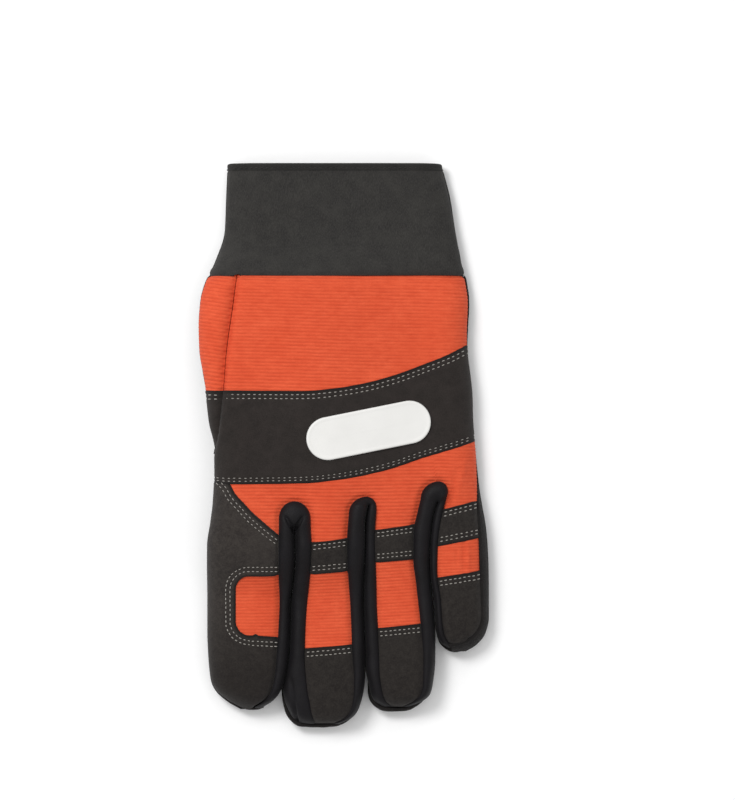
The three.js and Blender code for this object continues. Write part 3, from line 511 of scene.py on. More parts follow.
def over_edge(inset):
    """Rise of a folded edge over its neighbour, round at the fold."""
    t = np.clip(1 - inset / FOLD_ROUND, 0, 1)
    return PANEL_RISE * np.sqrt(1 - t * t) + np.minimum(inset, 0) * 1.4


def under_edge(inset):
    """Drop of a sheet where it passes under a neighbour."""
    return -0.62 * ramp(-inset, -0.12, 0.5)


def stitch_dips(inset, rows):
    """Grooves in which the rows of stitches lie."""
    return -STITCH_DIP * sum(bump(inset - row, 0.42) for row in rows)


def puckers(inset, along, rows):
    """Soft swellings between the stitches of two rows."""
    middle = sum(rows) / 2
    return 0.07 * bump(inset - middle, 1.1) * np.sin(2 * math.pi * along / (1.9 * STITCH_PITCH))


def fork_shape(fork):
    """Outline of a fourchette in plan: left and right halves from the tips to the top of the arch."""
    left, right = ROWS[fork["left"]], ROWS[fork["left"] + 1]
    crotch = fork["crotch"]
    centre = float(look(left, "right", crotch))
    at_left = centre - float(look(left, "seamRight", crotch))
    at_right = float(look(right, "seamLeft", crotch)) - centre
    angle = np.linspace(0, math.pi / 2, 40)
    halves = []
    for finger, rows, column, width, way in (
        (fork["left"], left, "seamRight", at_left, -1),
        (fork["left"] + 1, right, "seamLeft", at_right, 1),
    ):
        reach = lerp(fork["reach"], width, np.cos(angle) ** 2)
        y = np.arange(TIPS[finger] + TIP_END, crotch, 0.5)
        run = np.stack([look(rows, column, y), y], -1)
        arch = np.stack([centre + way * np.cos(angle) * reach, crotch + np.sin(angle) * reach], -1)
        halves.append(np.concatenate([run, arch]))
    return centre, halves


def depth_in_fork(fork, x, y):
    """How far a place is inside a fourchette's outline, below 0 outside."""
    centre, (left, right) = fork_shape(fork)
    crotch = fork["crotch"]
    at = np.minimum(y, crotch)
    start = np.interp(at, left[:, 1], left[:, 0])
    end = np.interp(at, right[:, 1], right[:, 0])
    beside = np.minimum(x - start, end - x)
    angle = np.arctan2(np.maximum(y - crotch, 0), centre - x)
    width = np.where(x < centre, centre - np.interp(crotch, left[:, 1], left[:, 0]),
                     np.interp(crotch, right[:, 1], right[:, 0]) - centre)
    reach = lerp(fork["reach"], width, np.cos(angle) ** 2)
    above = reach - np.hypot(x - centre, y - crotch)
    return np.where(y > crotch, above, beside)


def depth_in_forks(x, y):
    """How far a place is inside the nearest fourchette's outline."""
    return np.max([depth_in_fork(fork, x, y) for fork in FORKS], axis=0)


def fork_dip(x, y):
    """Valley of the seam round each fourchette."""
    outside = np.minimum(depth_in_forks(x, y), 0)
    return -0.9 * bump(outside, 1.3) - 0.35 * bump(outside, 4.0)


def ribs(x, y, kind, tilt, seed):
    """Rise of the rib knit, and its weave: millimetres across and ribs along."""
    pitch, height = kind
    phase = (y + tilt * x) / pitch + 0.22 * uneven(x, y, 34, seed)
    return height * np.cos(2 * math.pi * phase), np.stack([x, phase], -1)


def wrinkles(x, y, seed):
    """Broad and fine unevenness of cloth sewn on a soft hand."""
    return 0.24 * uneven(x, y, 30, seed) + 0.07 * uneven(x, y, 9, seed + 1)


def side_folds(x, y):
    """Soft upright folds of the knit near the little finger's root."""
    folds = 0 * x
    for start, end, width, size in SIDE_FOLDS:
        gap, t = distance_to(x, y, start, end)
        folds = folds + size * bump(gap, width) * np.sqrt(np.abs(np.sin(math.pi * t)))
    return folds


def knit_piece(name, node, x, y, rise, kind, tilt, seed, which=None, keep=None):
    rib, weave = ribs(x, y, kind, tilt, seed)
    base = rise + wrinkles(x, y, seed) + side_folds(x, y)
    sides = two_sides(back_height, x, y, (base + rib, base - KNIT_WALL), which)
    sheet(name, sides, KNIT, [node], weave, keep)


def suede_piece(name, node, x, y, rise, inset, material, slot, seed, which=None, keep=None):
    base = rise + 0.7 * wrinkles(x, y, seed)
    sides = two_sides(back_height, x, y, (base, np.minimum(base, PANEL_RISE) - SUEDE_WALL), which)
    if which is not None:
        sides = [draw_in(points, which) for points in sides]
    sheet(name, sides, material, [node], np.stack([inset, y], -1), keep)


def draw_in(points, which):
    """Draws a finger's pieces in from its tip, to leave room for the leather lip round it."""
    x, y, z = points[..., 0], points[..., 1], points[..., 2]
    tip = per_finger(which, TIPS)
    left = per_finger(which, [look(rows, "left", y) for rows in ROWS])
    right = per_finger(which, [look(rows, "right", y) for rows in ROWS])
    share = np.clip((x - left) / (right - left), 0, 1)
    beside = per_finger(which, LIP_SIDE) * ramp(y, tip + per_finger(which, LIP_REACH), tip + 5)
    beyond = per_finger(which, LIP_END) * ramp(y, tip + 9, tip + TIP_END)
    return np.stack([x + beside * np.clip(1 - share / 0.55, 0, 1), y + beyond, z], -1)


def tube(name, path, radius, material, sides=10, high=None):
    """A welt along a path, closed at its ends, whose half width and half height may change."""
    path = np.asarray(path, float)
    ahead = np.gradient(path, axis=0)
    ahead /= np.linalg.norm(ahead, axis=1, keepdims=True)
    across = np.cross(ahead, [0, 0, 1.0])
    across /= np.linalg.norm(across, axis=1, keepdims=True)
    up = np.cross(across, ahead)
    radius = np.broadcast_to(radius, len(path)).copy()
    high = radius if high is None else np.broadcast_to(high, len(path)).copy()
    ends = np.ones(len(path))
    ends[[0, -1]] = 0.3
    angle = np.arange(sides) * 2 * math.pi / sides
    wide = across[:, None] * np.cos(angle)[None, :, None] * (ends * radius)[:, None, None]
    tall = up[:, None] * np.sin(angle)[None, :, None] * (ends * high)[:, None, None]
    points = (path[:, None] + wide + tall).reshape(-1, 3)
    make_piece(name, points, closed_rings(len(path), sides), material, [])


# Stitches

class Thread:
    """Gathers stitches along rows, then makes them one piece."""

    def __init__(self, seed):
        self.random = np.random.default_rng(seed)
        self.points = []
        self.faces = []

    def sew(self, x, y, rise, height=back_height, which=None, pitch=STITCH_PITCH, length=STITCH_LENGTH,
            thick=1.0):
        """One row of stitches, slightly uneven in place and length."""
        path = np.stack([x, y], -1)
        run = run_along(path)
        count = max(1, round(run[-1] / pitch))
        pitch = run[-1] / count
        for i in range(count):
            middle = (i + 0.5) * pitch + self.random.uniform(-0.12, 0.12)
            size = length * self.random.uniform(0.9, 1.08)
            shift = self.random.uniform(-0.07, 0.07)
            ends = np.array([middle - size / 2, middle, middle + size / 2])
            at = walk(path, run, ends)
            side = np.array([-(at[2] - at[0])[1], (at[2] - at[0])[0]]) / size * shift
            spot = on_face(height, at[:, 0] + side[0], at[:, 1] + side[1], rise, which)
            above, below = two_sides(height, at[:, 0], at[:, 1], (rise + 1.0, rise), which)
            self.stitch(spot, (above - below)[1], thick * STITCH_RADIUS)

    def stitch(self, spot, up, radius):
        """A short spindle through the start, middle and end of a stitch, sunk at both ends."""
        ahead = spot[2] - spot[0]
        length = np.linalg.norm(ahead)
        ahead /= length
        across = np.cross(ahead, up)
        across /= np.linalg.norm(across)
        up = np.cross(across, ahead)
        sides = 6
        angle = np.arange(sides) * 2 * math.pi / sides
        rings = []
        for along, thick, lift in ((-0.5, 0.35, -0.16), (-0.4, 0.85, -0.02), (-0.15, 1.05, 0.07),
                                   (0.15, 1.05, 0.07), (0.4, 0.85, -0.02), (0.5, 0.35, -0.16)):
            centre = spot[1] + ahead * along * length + up * lift
            offset = np.cos(angle)[:, None] * across + 0.8 * np.sin(angle)[:, None] * up
            rings.append(centre + offset * thick * radius)
        self.faces += closed_rings(len(rings), sides, len(self.points) * sides)
        self.points += rings

    def finish(self, name, material):
        points = np.concatenate(self.points)
        points[:, 2] = np.maximum(points[:, 2], LOWEST)
        make_piece(name, points, self.faces, material, [])


# Materials

def linear(red, green, blue):
    """A colour as seen on a screen, 0 to 255, as linear light."""
    shares = [c / 255 for c in (red, green, blue)]
    return tuple(((c + 0.055) / 1.055) ** 2.4 if c > 0.04 else c / 12.92 for c in shares) + (1,)


class Look:
    """A procedural material under construction. A colour is four linear numbers, or three as seen on a
    screen, 0 to 255."""

    def __init__(self, name, roughness, sheen=0.0, sheen_roughness=0.5, specular=0.5):
        self.material = bpy.data.materials.new(name)
        self.material.use_nodes = True
        self.nodes = self.material.node_tree.nodes
        self.links = self.material.node_tree.links
        self.shader = self.nodes["Principled BSDF"]
        self.place = self.nodes.new("ShaderNodeTexCoord").outputs["Object"]
        for socket, value in (("Roughness", roughness), ("Sheen Weight", sheen),
                              ("Sheen Roughness", sheen_roughness), ("Specular IOR Level", specular)):
            self.shader.inputs[socket].default_value = value

    def texture(self, kind, size, stretch=(1, 1, 1)):
        """A texture over the glove, with features of a size in millimetres."""
        mapping = self.nodes.new("ShaderNodeMapping")
        mapping.inputs["Scale"].default_value = tuple(s / (size * MM) for s in stretch)
        texture = self.nodes.new(kind)
        texture.inputs["Scale"].default_value = 1.0
        self.links.new(self.place, mapping.inputs["Vector"])
        self.links.new(mapping.outputs["Vector"], texture.inputs["Vector"])
        return texture

    def noise(self, size, detail=2.0, roughness=0.5, stretch=(1, 1, 1)):
        """Noise from 0 to 1."""
        texture = self.texture("ShaderNodeTexNoise", size, stretch)
        texture.inputs["Detail"].default_value = detail
        texture.inputs["Roughness"].default_value = roughness
        return texture.outputs["Fac"]

    def cells(self, size):
        """Distance from the nearest border between cells."""
        texture = self.texture("ShaderNodeTexVoronoi", size)
        texture.feature = "DISTANCE_TO_EDGE"
        return texture.outputs["Distance"]

    def ramp(self, value, low, high, start=0.0, end=1.0):
        """A number spread from one range to another and kept in it."""
        node = self.nodes.new("ShaderNodeMapRange")
        self.links.new(value, node.inputs["Value"])
        for name, number in (("From Min", low), ("From Max", high), ("To Min", start), ("To Max", end)):
            node.inputs[name].default_value = number
        return node.outputs["Result"]

    def fill(self, socket, value):
        """Gives a socket a number or a colour, or joins another socket to it."""
        if isinstance(value, tuple):
            socket.default_value = linear(*value) if len(value) == 3 else value
        elif isinstance(value, (int, float)):
            socket.default_value = value
        else:
            self.links.new(value, socket)

    def maths(self, operation, *values):
        node = self.nodes.new("ShaderNodeMath")
        node.operation = operation
        for socket, value in zip(node.inputs, values):
            self.fill(socket, value)
        return node.outputs["Value"]

    def add(self, one, two, share):
        """One number and a share of another."""
        return self.maths("ADD", one, self.maths("MULTIPLY", two, share))

    def mix(self, share, one, two):
        node = self.nodes.new("ShaderNodeMix")
        node.data_type = "RGBA"
        colours = [socket for socket in node.inputs if socket.type == "RGBA"]
        for socket, value in zip([node.inputs[0]] + colours, (share, one, two)):
            self.fill(socket, value)
        return [socket for socket in node.outputs if socket.type == "RGBA"][0]

    def tone(self, value, low, high, one, two, most=1.0):
        """From one colour towards another, by a share at most, as a value goes from low to high."""
        return self.mix(self.ramp(value, low, high, 0.0, most), one, two)

    def relief(self, height, distance):
        """Fine bump, its depth in millimetres."""
        node = self.nodes.new("ShaderNodeBump")
        node.inputs["Strength"].default_value = 1.0
        node.inputs["Distance"].default_value = distance * MM
        self.links.new(height, node.inputs["Height"])
        self.links.new(node.outputs["Normal"], self.shader.inputs["Normal"])

    def weave(self, axis):
        """A piece's own measure: across it or from its edge in X, ribs or place along it in Y."""
        uv = self.nodes.new("ShaderNodeUVMap")
        uv.uv_map = "weave"
        split = self.nodes.new("ShaderNodeSeparateXYZ")
        self.links.new(uv.outputs["UV"], split.inputs["Vector"])
        return split.outputs[axis]

    def fold_shade(self):
        """Painted shade on a panel's folded edge, fading out before the first row of stitches."""
        return self.ramp(self.weave("X"), 0.5, 1.5, 0.75, 0.0)

    def colour(self, socket):
        self.links.new(socket, self.shader.inputs["Base Color"])

    def rough(self, value, low, high, start, end):
        """Roughness from start to end as a value goes from low to high."""
        self.links.new(self.ramp(value, low, high, start, end), self.shader.inputs["Roughness"])


def knit_material():
    knit = Look("knit", 0.88, sheen=0.06, specular=0.2)
    knit.shader.inputs["Sheen Tint"].default_value = (1.0, 0.5, 0.35, 1.0)
    wave = knit.maths("COSINE", knit.maths("MULTIPLY", knit.weave("Y"), 2 * math.pi))
    loop_width = 0.62
    columns = knit.maths("SINE", knit.maths("MULTIPLY", knit.weave("X"), 2 * math.pi / loop_width))
    fleck = knit.noise(0.55, 3.0, 0.7)
    mottle = knit.noise(2.6, 3.0, 0.65, stretch=(0.55, 1.3, 1))
    plain = knit.tone(knit.noise(22), 0.3, 0.7, (209, 82, 49), (220, 92, 58))
    mottled = knit.tone(mottle, 0.35, 0.65, plain, (194, 67, 37), 0.5)
    loops = knit.tone(fleck, 0.35, 0.75, mottled, (190, 66, 38), 0.35)
    # Painted shade: the grooves between the ribs are coloured darker, in patches, where shade falls between
    # them
    patchy = knit.ramp(knit.noise(4.5, 2.0, 0.6, stretch=(0.5, 1.5, 1)), 0.35, 0.65, 0.12, 0.5)
    painted_groove_shade = knit.maths("MULTIPLY", knit.ramp(wave, -0.25, -1.0), patchy)
    knit.colour(knit.mix(painted_groove_shade, loops, (168, 54, 30)))
    ribbed = knit.add(knit.maths("MULTIPLY", wave, 0.45), columns, 0.22)
    knit.relief(knit.add(ribbed, fleck, 0.7), 0.09)
    knit.rough(fleck, 0.3, 0.8, 0.8, 0.95)
    return knit.material


def suede_material(name, shade, tip_shade):
    """Napped suede, darkened towards the fingertips by painted shade where the light falls off; the third
    argument is how much.
    """
    suede = Look(name, 0.95, sheen=0.08 * shade, specular=0.12)
    tones = ((35, 31, 30), (43, 39, 37), (51, 47, 44), (66, 61, 57))
    low, high, mark, wear = [tuple(shade * c for c in tone) for tone in tones]
    nap = suede.noise(0.7, 4.0, 0.75)
    blotch = suede.noise(2.6, 3.0, 0.6)
    base = suede.tone(suede.noise(26), 0.3, 0.7, low, high)
    marked = suede.tone(blotch, 0.38, 0.68, base, mark)
    worn = suede.tone(nap, 0.42, 0.72, marked, wear, 0.6)
    # Painted shade: darker towards the fingertips, where the light falls off over the suede's slope
    tip_shaded = suede.tone(suede.weave("Y"), -70, -105, worn, (25, 22, 21), tip_shade)
    # Painted shade along the folded edges
    suede.colour(suede.mix(suede.fold_shade(), tip_shaded, (22, 20, 19)))
    suede.relief(suede.add(nap, blotch, 0.5), 0.16)
    suede.rough(nap, 0.3, 0.7, 0.98, 0.85)
    return suede.material


def band_material():
    band = Look("band", 0.88, sheen=0.05, specular=0.15)
    grain = band.noise(0.45, 3.0, 0.65)
    blotch = band.noise(5.0, 3.0, 0.6)
    base = band.tone(blotch, 0.35, 0.7, (34, 30, 28), (42, 37, 35))
    grained = band.tone(grain, 0.4, 0.75, base, (53, 48, 45), 0.45)
    # Painted shade along the folded edges
    band.colour(band.mix(band.fold_shade(), grained, (20, 18, 18)))
    band.relief(band.add(grain, blotch, 0.6), 0.09)
    band.rough(grain, 0.3, 0.7, 0.92, 0.78)
    return band.material


def cuff_material(name, shade):
    cuff = Look(name, 0.92, sheen=0.06, specular=0.15)
    threads = cuff.noise(0.5, 3.0, 0.7, stretch=(1.6, 0.5, 1))
    tones = ((38, 37, 36), (46, 45, 43), (62, 60, 58))
    low, high, light = [tuple(shade * c for c in tone) for tone in tones]
    base = cuff.tone(cuff.noise(6.0), 0.35, 0.7, low, high)
    cuff.colour(cuff.tone(threads, 0.4, 0.7, base, light, 0.6))
    cuff.relief(threads, 0.12)
    cuff.rough(threads, 0.3, 0.7, 0.95, 0.82)
    return cuff.material


def fork_material():
    cloth = Look("fourchette", 0.72, sheen=0.03, sheen_roughness=0.4, specular=0.17)
    weave = cloth.noise(0.4, 2.0, 0.6)
    base = cloth.tone(cloth.noise(9), 0.3, 0.7, (13, 11, 13), (18, 16, 19))
    cloth.colour(cloth.tone(weave, 0.45, 0.75, base, (28, 26, 29), 0.4))
    cloth.relief(weave, 0.05)
    cloth.rough(weave, 0.3, 0.7, 0.72, 0.55)
    return cloth.material


def palm_material():
    leather = Look("palm_leather", 0.75, specular=0.17)
    pores = leather.cells(1.1)
    fine = leather.noise(0.6, 3.0, 0.6)
    base = leather.tone(leather.noise(9, 3.0), 0.35, 0.7, (20, 18, 17), (29, 25, 24))
    leather.colour(leather.mix(leather.ramp(pores, 0.0, 0.12, 0.55, 0.0), base, (13, 12, 12)))
    leather.relief(leather.add(leather.ramp(pores, 0.0, 0.35), fine, 0.6), 0.14)
    leather.rough(fine, 0.3, 0.7, 0.78, 0.6)
    return leather.material


def patch_material():
    rubber = Look("patch", 0.5, specular=0.45)
    grain = rubber.noise(0.5, 3.0, 0.6)
    rubber.colour(rubber.tone(rubber.noise(14), 0.3, 0.7, (218, 217, 214), (223, 222, 219)))
    rubber.relief(grain, 0.03)
    rubber.rough(grain, 0.3, 0.7, 0.45, 0.6)
    return rubber.material


def thread_material():
    thread = Look("thread", 0.75, sheen=0.2, specular=0.3)
    ply = thread.noise(0.25, 2.0, 0.6)
    thread.colour(thread.mix(ply, (122, 118, 113), (166, 161, 154)))
    thread.relief(ply, 0.05)
    return thread.material


def floor_material():
    paper = Look("floor", 0.85, specular=0.2)
    paper.colour(paper.mix(paper.noise(3.0), (0.93, 0.93, 0.93, 1), (0.95, 0.95, 0.95, 1)))
    return paper.material


KNIT = knit_material()
SUEDE = suede_material("suede", 1.0, 0.6)
TIP_SUEDE = suede_material("tip_suede", 0.82, 0.1)
BAND = band_material()
CUFF = cuff_material("cuff", 1.0)
HEM = cuff_material("cuff_hem", 0.82)
FORK = fork_material()
LEATHER = palm_material()
PATCH_RUBBER = patch_material()
THREAD = thread_material()


# Hand and cuff

def side(column):
    """The glove's side, as a limit of a grid."""
    return lambda y: glove_side(column, y)


def level(y):
    """A straight end of a grid, across the glove."""
    return lambda x: np.full_like(np.asarray(x, float), y)


def thumb_seam(inset):
    """The thumb side seam moved along x, as a limit of a grid."""
    return lambda y: look(THUMB_SIDE_SEAM, "x", y) + inset


def curve(source, shift=0.0):
    """An edge from the tables moved along y, as an end of a grid."""
    return lambda x: look(source, "y", x) + shift


def steepness(source, x):
    """How much shorter the distance square to a curve is than the one along y."""
    return 1 / np.sqrt(1 + ((look(source, "y", x + 0.5) - look(source, "y", x - 0.5))) ** 2)


def pinch(x, y):
    """The thumb side seam: a tight valley with puckers across it."""
    distance = x - look(THUMB_SIDE_SEAM, "x", y)
    tight = -1.0 * np.exp(-((np.abs(distance) / 0.8) ** 1.4))
    valley = 0.35 * bump(distance - 2.2, 1.3) - 0.5 * bump(distance, 2.4)
    pucker = 0.16 * bump(distance, 2.4) * np.sin(2 * math.pi * (y + 0.5 * np.abs(distance)) / 3.3)
    return (tight + valley + pucker) * ramp(y, -8, 6)


def wrist_edge(y):
    """The knit dips into the wrist seam."""
    return -0.9 * bump(y - WRIST_SEAM, 1.0)


def make_upper_back():
    """The orange knit either side of the thumb seam, tucked under the hand band."""
    near_seam = [0, 0.2, 0.45, 0.8, 1.3, 2.0]
    back_shares = shares_across(104.0, near_seam + [3.0, 4.4], 2.0, SIDE)
    thumb_shares = shares_across(14.0, SIDE[:11], 0.8, near_seam)
    for name, node, left, right, shares, kind, tilt, seed in (
        ("back_upper_knit", "back_upper", thumb_seam(SEAM_GAP), side("right"), back_shares,
         HAND_RIBS, 0.02, 11),
        ("thumb_side_knit", "thumb_side_upper", side("left"), thumb_seam(-SEAM_GAP), thumb_shares,
         THUMB_SIDE_RIBS, 0.14, 12),
    ):
        x, y = plan_grid(left, right, level(WRIST_SEAM), curve(BAND_TOP, -TUCK), shares, [0, 0.3, 0.7],
                         RIB_STEP, TUCKED)
        inset = (y - look(BAND_TOP, "y", x)) * steepness(BAND_TOP, x)
        rise = under_edge(inset) + pinch(x, y) + wrist_edge(y)
        knit_piece(name, node, x, y, rise, kind, tilt, seed)


def band_rise(x, y):
    """Rise of the hand band, and the distance from its nearer edge."""
    top = (look(BAND_TOP, "y", x) - y) * steepness(BAND_TOP, x)
    bottom = (y - look(BAND_BOTTOM, "y", x)) * steepness(BAND_BOTTOM, x)
    inset = np.minimum(top, bottom)
    rise = over_edge(inset) + stitch_dips(top, BAND_TOP_ROWS) + stitch_dips(bottom, BAND_BOTTOM_ROWS)
    rise = rise + puckers(top, x, BAND_TOP_ROWS) + puckers(bottom, x, BAND_BOTTOM_ROWS)
    return rise + pinch(x, y), inset


def make_band():
    """The dark hand band, and the part of it beyond the thumb side seam."""
    left = lambda y: np.maximum(glove_side("left", y), thumb_seam(SEAM_GAP)(y))
    shares = shares_across(116.0, SIDE, 1.6, SIDE)
    x, y = plan_grid(left, side("right"), curve(BAND_TOP, FOLD_GAP), curve(BAND_BOTTOM, -FOLD_GAP), shares,
                     FOLD, 1.0, FOLD)
    suede_piece("hand_band_leather", "hand_band", x, y, *band_rise(x, y), BAND, "band", 21)
    shares = shares_across(7.0, SIDE[:9], 0.6, [0, 0.2, 0.45, 0.8, 1.3])
    x, y = plan_grid(side("left"), thumb_seam(-SEAM_GAP), curve(BAND_TOP, FOLD_GAP), level(-4.0), shares,
                     FOLD, 0.9, [0, 0.4])
    suede_piece("thumb_side_leather", "thumb_side_lower", x, y, *band_rise(x, y), BAND, "band", 22)


def below_band(x):
    """Lower end of the orange back at a place across, which is the index panel's edge or a knuckle band,
    and the finger there."""
    ends = [look(INDEX_EDGE_DOWN, "y", x)] + [slant(i, KNUCKLE_TOP, x) for i in (1, 2, 3)]
    between = (-22.2, 11.0, 42.5)
    zone = sum((x > gap).astype(int) for gap in between)
    return np.choose(zone, ends), zone


def slant(i, pair, x):
    """A line across a finger, given by its heights at the two seams."""
    at_left, at_right = pair[i]
    y = (at_left + at_right) / 2
    left = float(look(ROWS[i], "seamLeft", y))
    right = float(look(ROWS[i], "seamRight", y)) if i < 3 else LITTLE_STRIP_X
    return at_left + (at_right - at_left) * (x - left) / (right - left)


def make_lower_back():
    """The orange knit below the band, round the arches of the fourchettes."""
    left = -56.0
    columns = np.linspace(left, 50.0, 140)
    rim = 61.9 - np.array(SIDE[::-1])
    base_x = np.concatenate([columns, rim[rim > 50.6]])
    shares = (base_x - left) / (base_x[-1] - left)
    start = curve(BAND_BOTTOM, TUCK)(base_x)
    end = np.minimum(below_band(base_x)[0] - 1.6, start - 0.4)
    y = places(start, end, TUCKED + [1.6], RIB_STEP, TUCKED[:5] + [1.6])
    to_strip = np.where(y < STRIP_START, strip_seam(y) + 0.8, FAR)
    x = lerp(left, np.minimum(glove_side("right", y), to_strip), shares[None, :])
    ends, zone = below_band(x)
    index_slope = 0.72
    inset = (y - ends) * np.where(zone == 0, index_slope, 1)
    top_inset = (look(BAND_BOTTOM, "y", x) - y) * steepness(BAND_BOTTOM, x)
    rise = under_edge(inset) + under_edge(top_inset) + fork_dip(x, y)
    rise = rise + under_edge(np.where(y < STRIP_START, strip_seam(y) - x, FAR))
    depth = depth_in_forks(x, y)
    keep = (depth[:-1, :-1] + depth[1:, 1:]) / 2 < 1.5
    knit_piece("back_lower_knit", "back_lower", x, y, rise, LOWER_RIBS, 0.0, 13, keep=keep)


def strip_seam(y):
    """Seam on the back where the little finger's side leather ends."""
    keys = np.linspace(0, 8, 60)
    seam_y = look(EDGE_STRIP, "seamY", keys)[::-1]
    seam_x = look(EDGE_STRIP, "seamX", keys)[::-1]
    return np.interp(y, seam_y, seam_x)


# Index finger

def window_distance(x, y):
    """Distance out from the edge of the orange window, below 0 inside it."""
    corner = WINDOW["corner"]
    share = np.clip((x - WINDOW["left"]) / WINDOW_SLANT, 0, 1.2)
    bottom = lerp(*WINDOW["bottom"], share) + 0.8 * bump(x + 40, 0.9)
    centre = (WINDOW["top"] + bottom) / 2
    half = (WINDOW["top"] - bottom) / 2
    beside = np.maximum(WINDOW["left"] + corner - x, 0)
    beyond = np.maximum(np.abs(y - centre) - (half - corner), 0)
    inner = np.maximum(-(x - WINDOW["left"]), np.abs(y - centre) - half)
    rounded = np.hypot(beside, beyond) - corner
    return np.where((beside > 0) & (beyond > 0), rounded, inner)


def tip_rows(tip, start, step):
    """Rows down a finger, closer where the tip rounds over."""
    turn = np.linspace(math.pi / 2, 0, 22)
    near_tip = tip + TIP_END + (TIP_LENGTH - TIP_END) * (1 - np.cos(turn))
    run = np.arange(start, tip + TIP_LENGTH + 0.3, -step)
    return np.concatenate([run, near_tip])


def diagonal_inset(x, y):
    """Distance in from the index panel's slanting edge, as far down as it goes."""
    slope = look(INDEX_EDGE, "x", y + 0.5) - look(INDEX_EDGE, "x", y - 0.5)
    inset = (look(INDEX_EDGE, "x", y) - x) / np.sqrt(1 + slope**2)
    return np.where(y > -43.5, inset, 9.0)


def index_rise(x, y):
    """Rise of the index panel, and the distance from its nearer folded edge."""
    window = window_distance(x, y)
    diagonal = diagonal_inset(x, y)
    band = look(BAND_BOTTOM, "y", x) - y
    rise = np.minimum(over_edge(window), over_edge(diagonal))
    rise = rise + stitch_dips(window, WINDOW_ROWS) + stitch_dips(diagonal, DIAGONAL_ROWS)
    rise = rise + puckers(diagonal, y * 1.4, DIAGONAL_ROWS) + puckers(window, x + y, WINDOW_ROWS)
    rise = rise + np.where(band < 1.5, under_edge(band) * 1.8, 0)
    seam = look(INDEX, "seamRight", y) - x
    rise = np.where(window < 0, np.maximum(rise, -0.9), rise) + fork_dip(x, y) - 0.3 * bump(seam, 0.8)
    return rise, np.minimum(window, diagonal)


def make_index():
    """The index finger's panel round its window, and the orange knit in the window."""
    # Rows are closer over the window's upper and lower edges
    y = np.concatenate([
        np.arange(-12.6, -57.0, -0.55), np.arange(-57.0, -67.0, -0.22), np.arange(-67.0, -79.0, -0.6),
        np.arange(-79.0, -90.0, -0.22), tip_rows(TIPS[0], -90.0, 0.8),
    ])
    from_left = np.concatenate([SIDE, np.arange(10.4, 20.5, 0.22), np.arange(20.5, 27.4, 0.5)])
    near_seam = np.array([5.0, 4.3, 3.9, 3.65, 3.4, 3.0, 2.5, 2.1, 1.7, 1.35, 1.0, 0.7, 0.45, 0.27, 0.14,
                          0.05, 0, -0.12, -0.5, -1.0])
    broad = 32.4
    shares = np.concatenate([from_left / broad, 1 - near_seam / broad])
    right = lambda at: np.minimum(look(INDEX, "seamRight", at), look(INDEX_EDGE, "x", at))
    y = np.repeat(y[:, None], len(shares), axis=1)
    width = np.maximum(right(y) - glove_side("left", y), 0.2)
    x = glove_side("left", y) + width * shares[None, :]
    window = window_distance(x, y)
    keep = (window[:-1, :-1] + window[1:, 1:]) / 2 > -1.3
    which = np.zeros(x.shape, int)
    suede_piece("index_panel_suede", "index_panel", x, y, *index_rise(x, y), SUEDE, "suede", 31, which, keep)
    shares = shares_across(21.0, TUCKED[:5] + [1.5], 0.9, SEAM)
    left = lambda at: np.full_like(at, WINDOW["left"] - 1.2)
    edge = lambda at: look(INDEX, "seamRight", at) + 1.3
    x, y = plan_grid(left, edge, level(WINDOW["top"] + 1.2), level(WINDOW["bottom"][1] - 1.2), shares,
                     TUCKED[:5], RIB_STEP, TUCKED[:5])
    rise = under_edge(-window_distance(x, y)) + fork_dip(x, y)
    which = np.zeros(x.shape, int)
    knit_piece("index_window_knit", "index_window", x, y, rise, FINGER_RIBS, -0.02, 14, which)


# Backs of the other fingers

def finger_grid(i, start, end, first, step, last):
    """A grid across one finger between two slanting lines, or down to its tip where end is None."""
    rows, tip = ROWS[i], TIPS[i]
    tuck = lambda y: np.minimum(1.2, 0.4 * np.abs(look(rows, "seamLeft", y) - look(rows, "left", y)))
    left = lambda y: look(rows, "seamLeft", y) - tuck(y)
    if i < 3:
        right = lambda y: look(rows, "seamRight", y) + np.minimum(
            1.2, 0.4 * (look(rows, "right", y) - look(rows, "seamRight", y)))
    else:
        right = lambda y: np.minimum(strip_seam(y) + 0.7, look(rows, "right", y) - 0.3)
    shares = shares_across(20.0, FROM_SEAM, 0.9, FROM_SEAM)
    if end is not None:
        return plan_grid(left, right, start, end, shares, first, step, last)
    middle = float(start(left(-80.0) + 10))
    y = places(0.0, -6.0, first, 0.9, [0])
    body = tip_rows(tip, middle - 6.8, 0.9)
    offsets = np.concatenate([y + middle, body])
    x = lerp(left(offsets)[:, None], right(offsets)[:, None], shares[None, :])
    tilt = start(x) - middle
    fade = ramp(offsets, tip + 22, middle - 5)[:, None]
    grid_y = offsets[:, None] + tilt * fade
    x = lerp(left(grid_y), right(grid_y), shares[None, :])
    return x, grid_y


def right_seam(i, y):
    """Right seam of a finger's back; on the little finger it is the side leather's."""
    return look(ROWS[i], "seamRight", y) if i < 3 else strip_seam(y)


def seam_dip(i, x, y):
    """Valley along the two seams of a finger's back."""
    from_left = x - look(ROWS[i], "seamLeft", y)
    to_right = right_seam(i, y) - x
    near = np.minimum(from_left, to_right)
    return -0.75 * bump(np.maximum(near, 0), 1.2) - 0.25 * np.clip(-near, 0, 1.2)


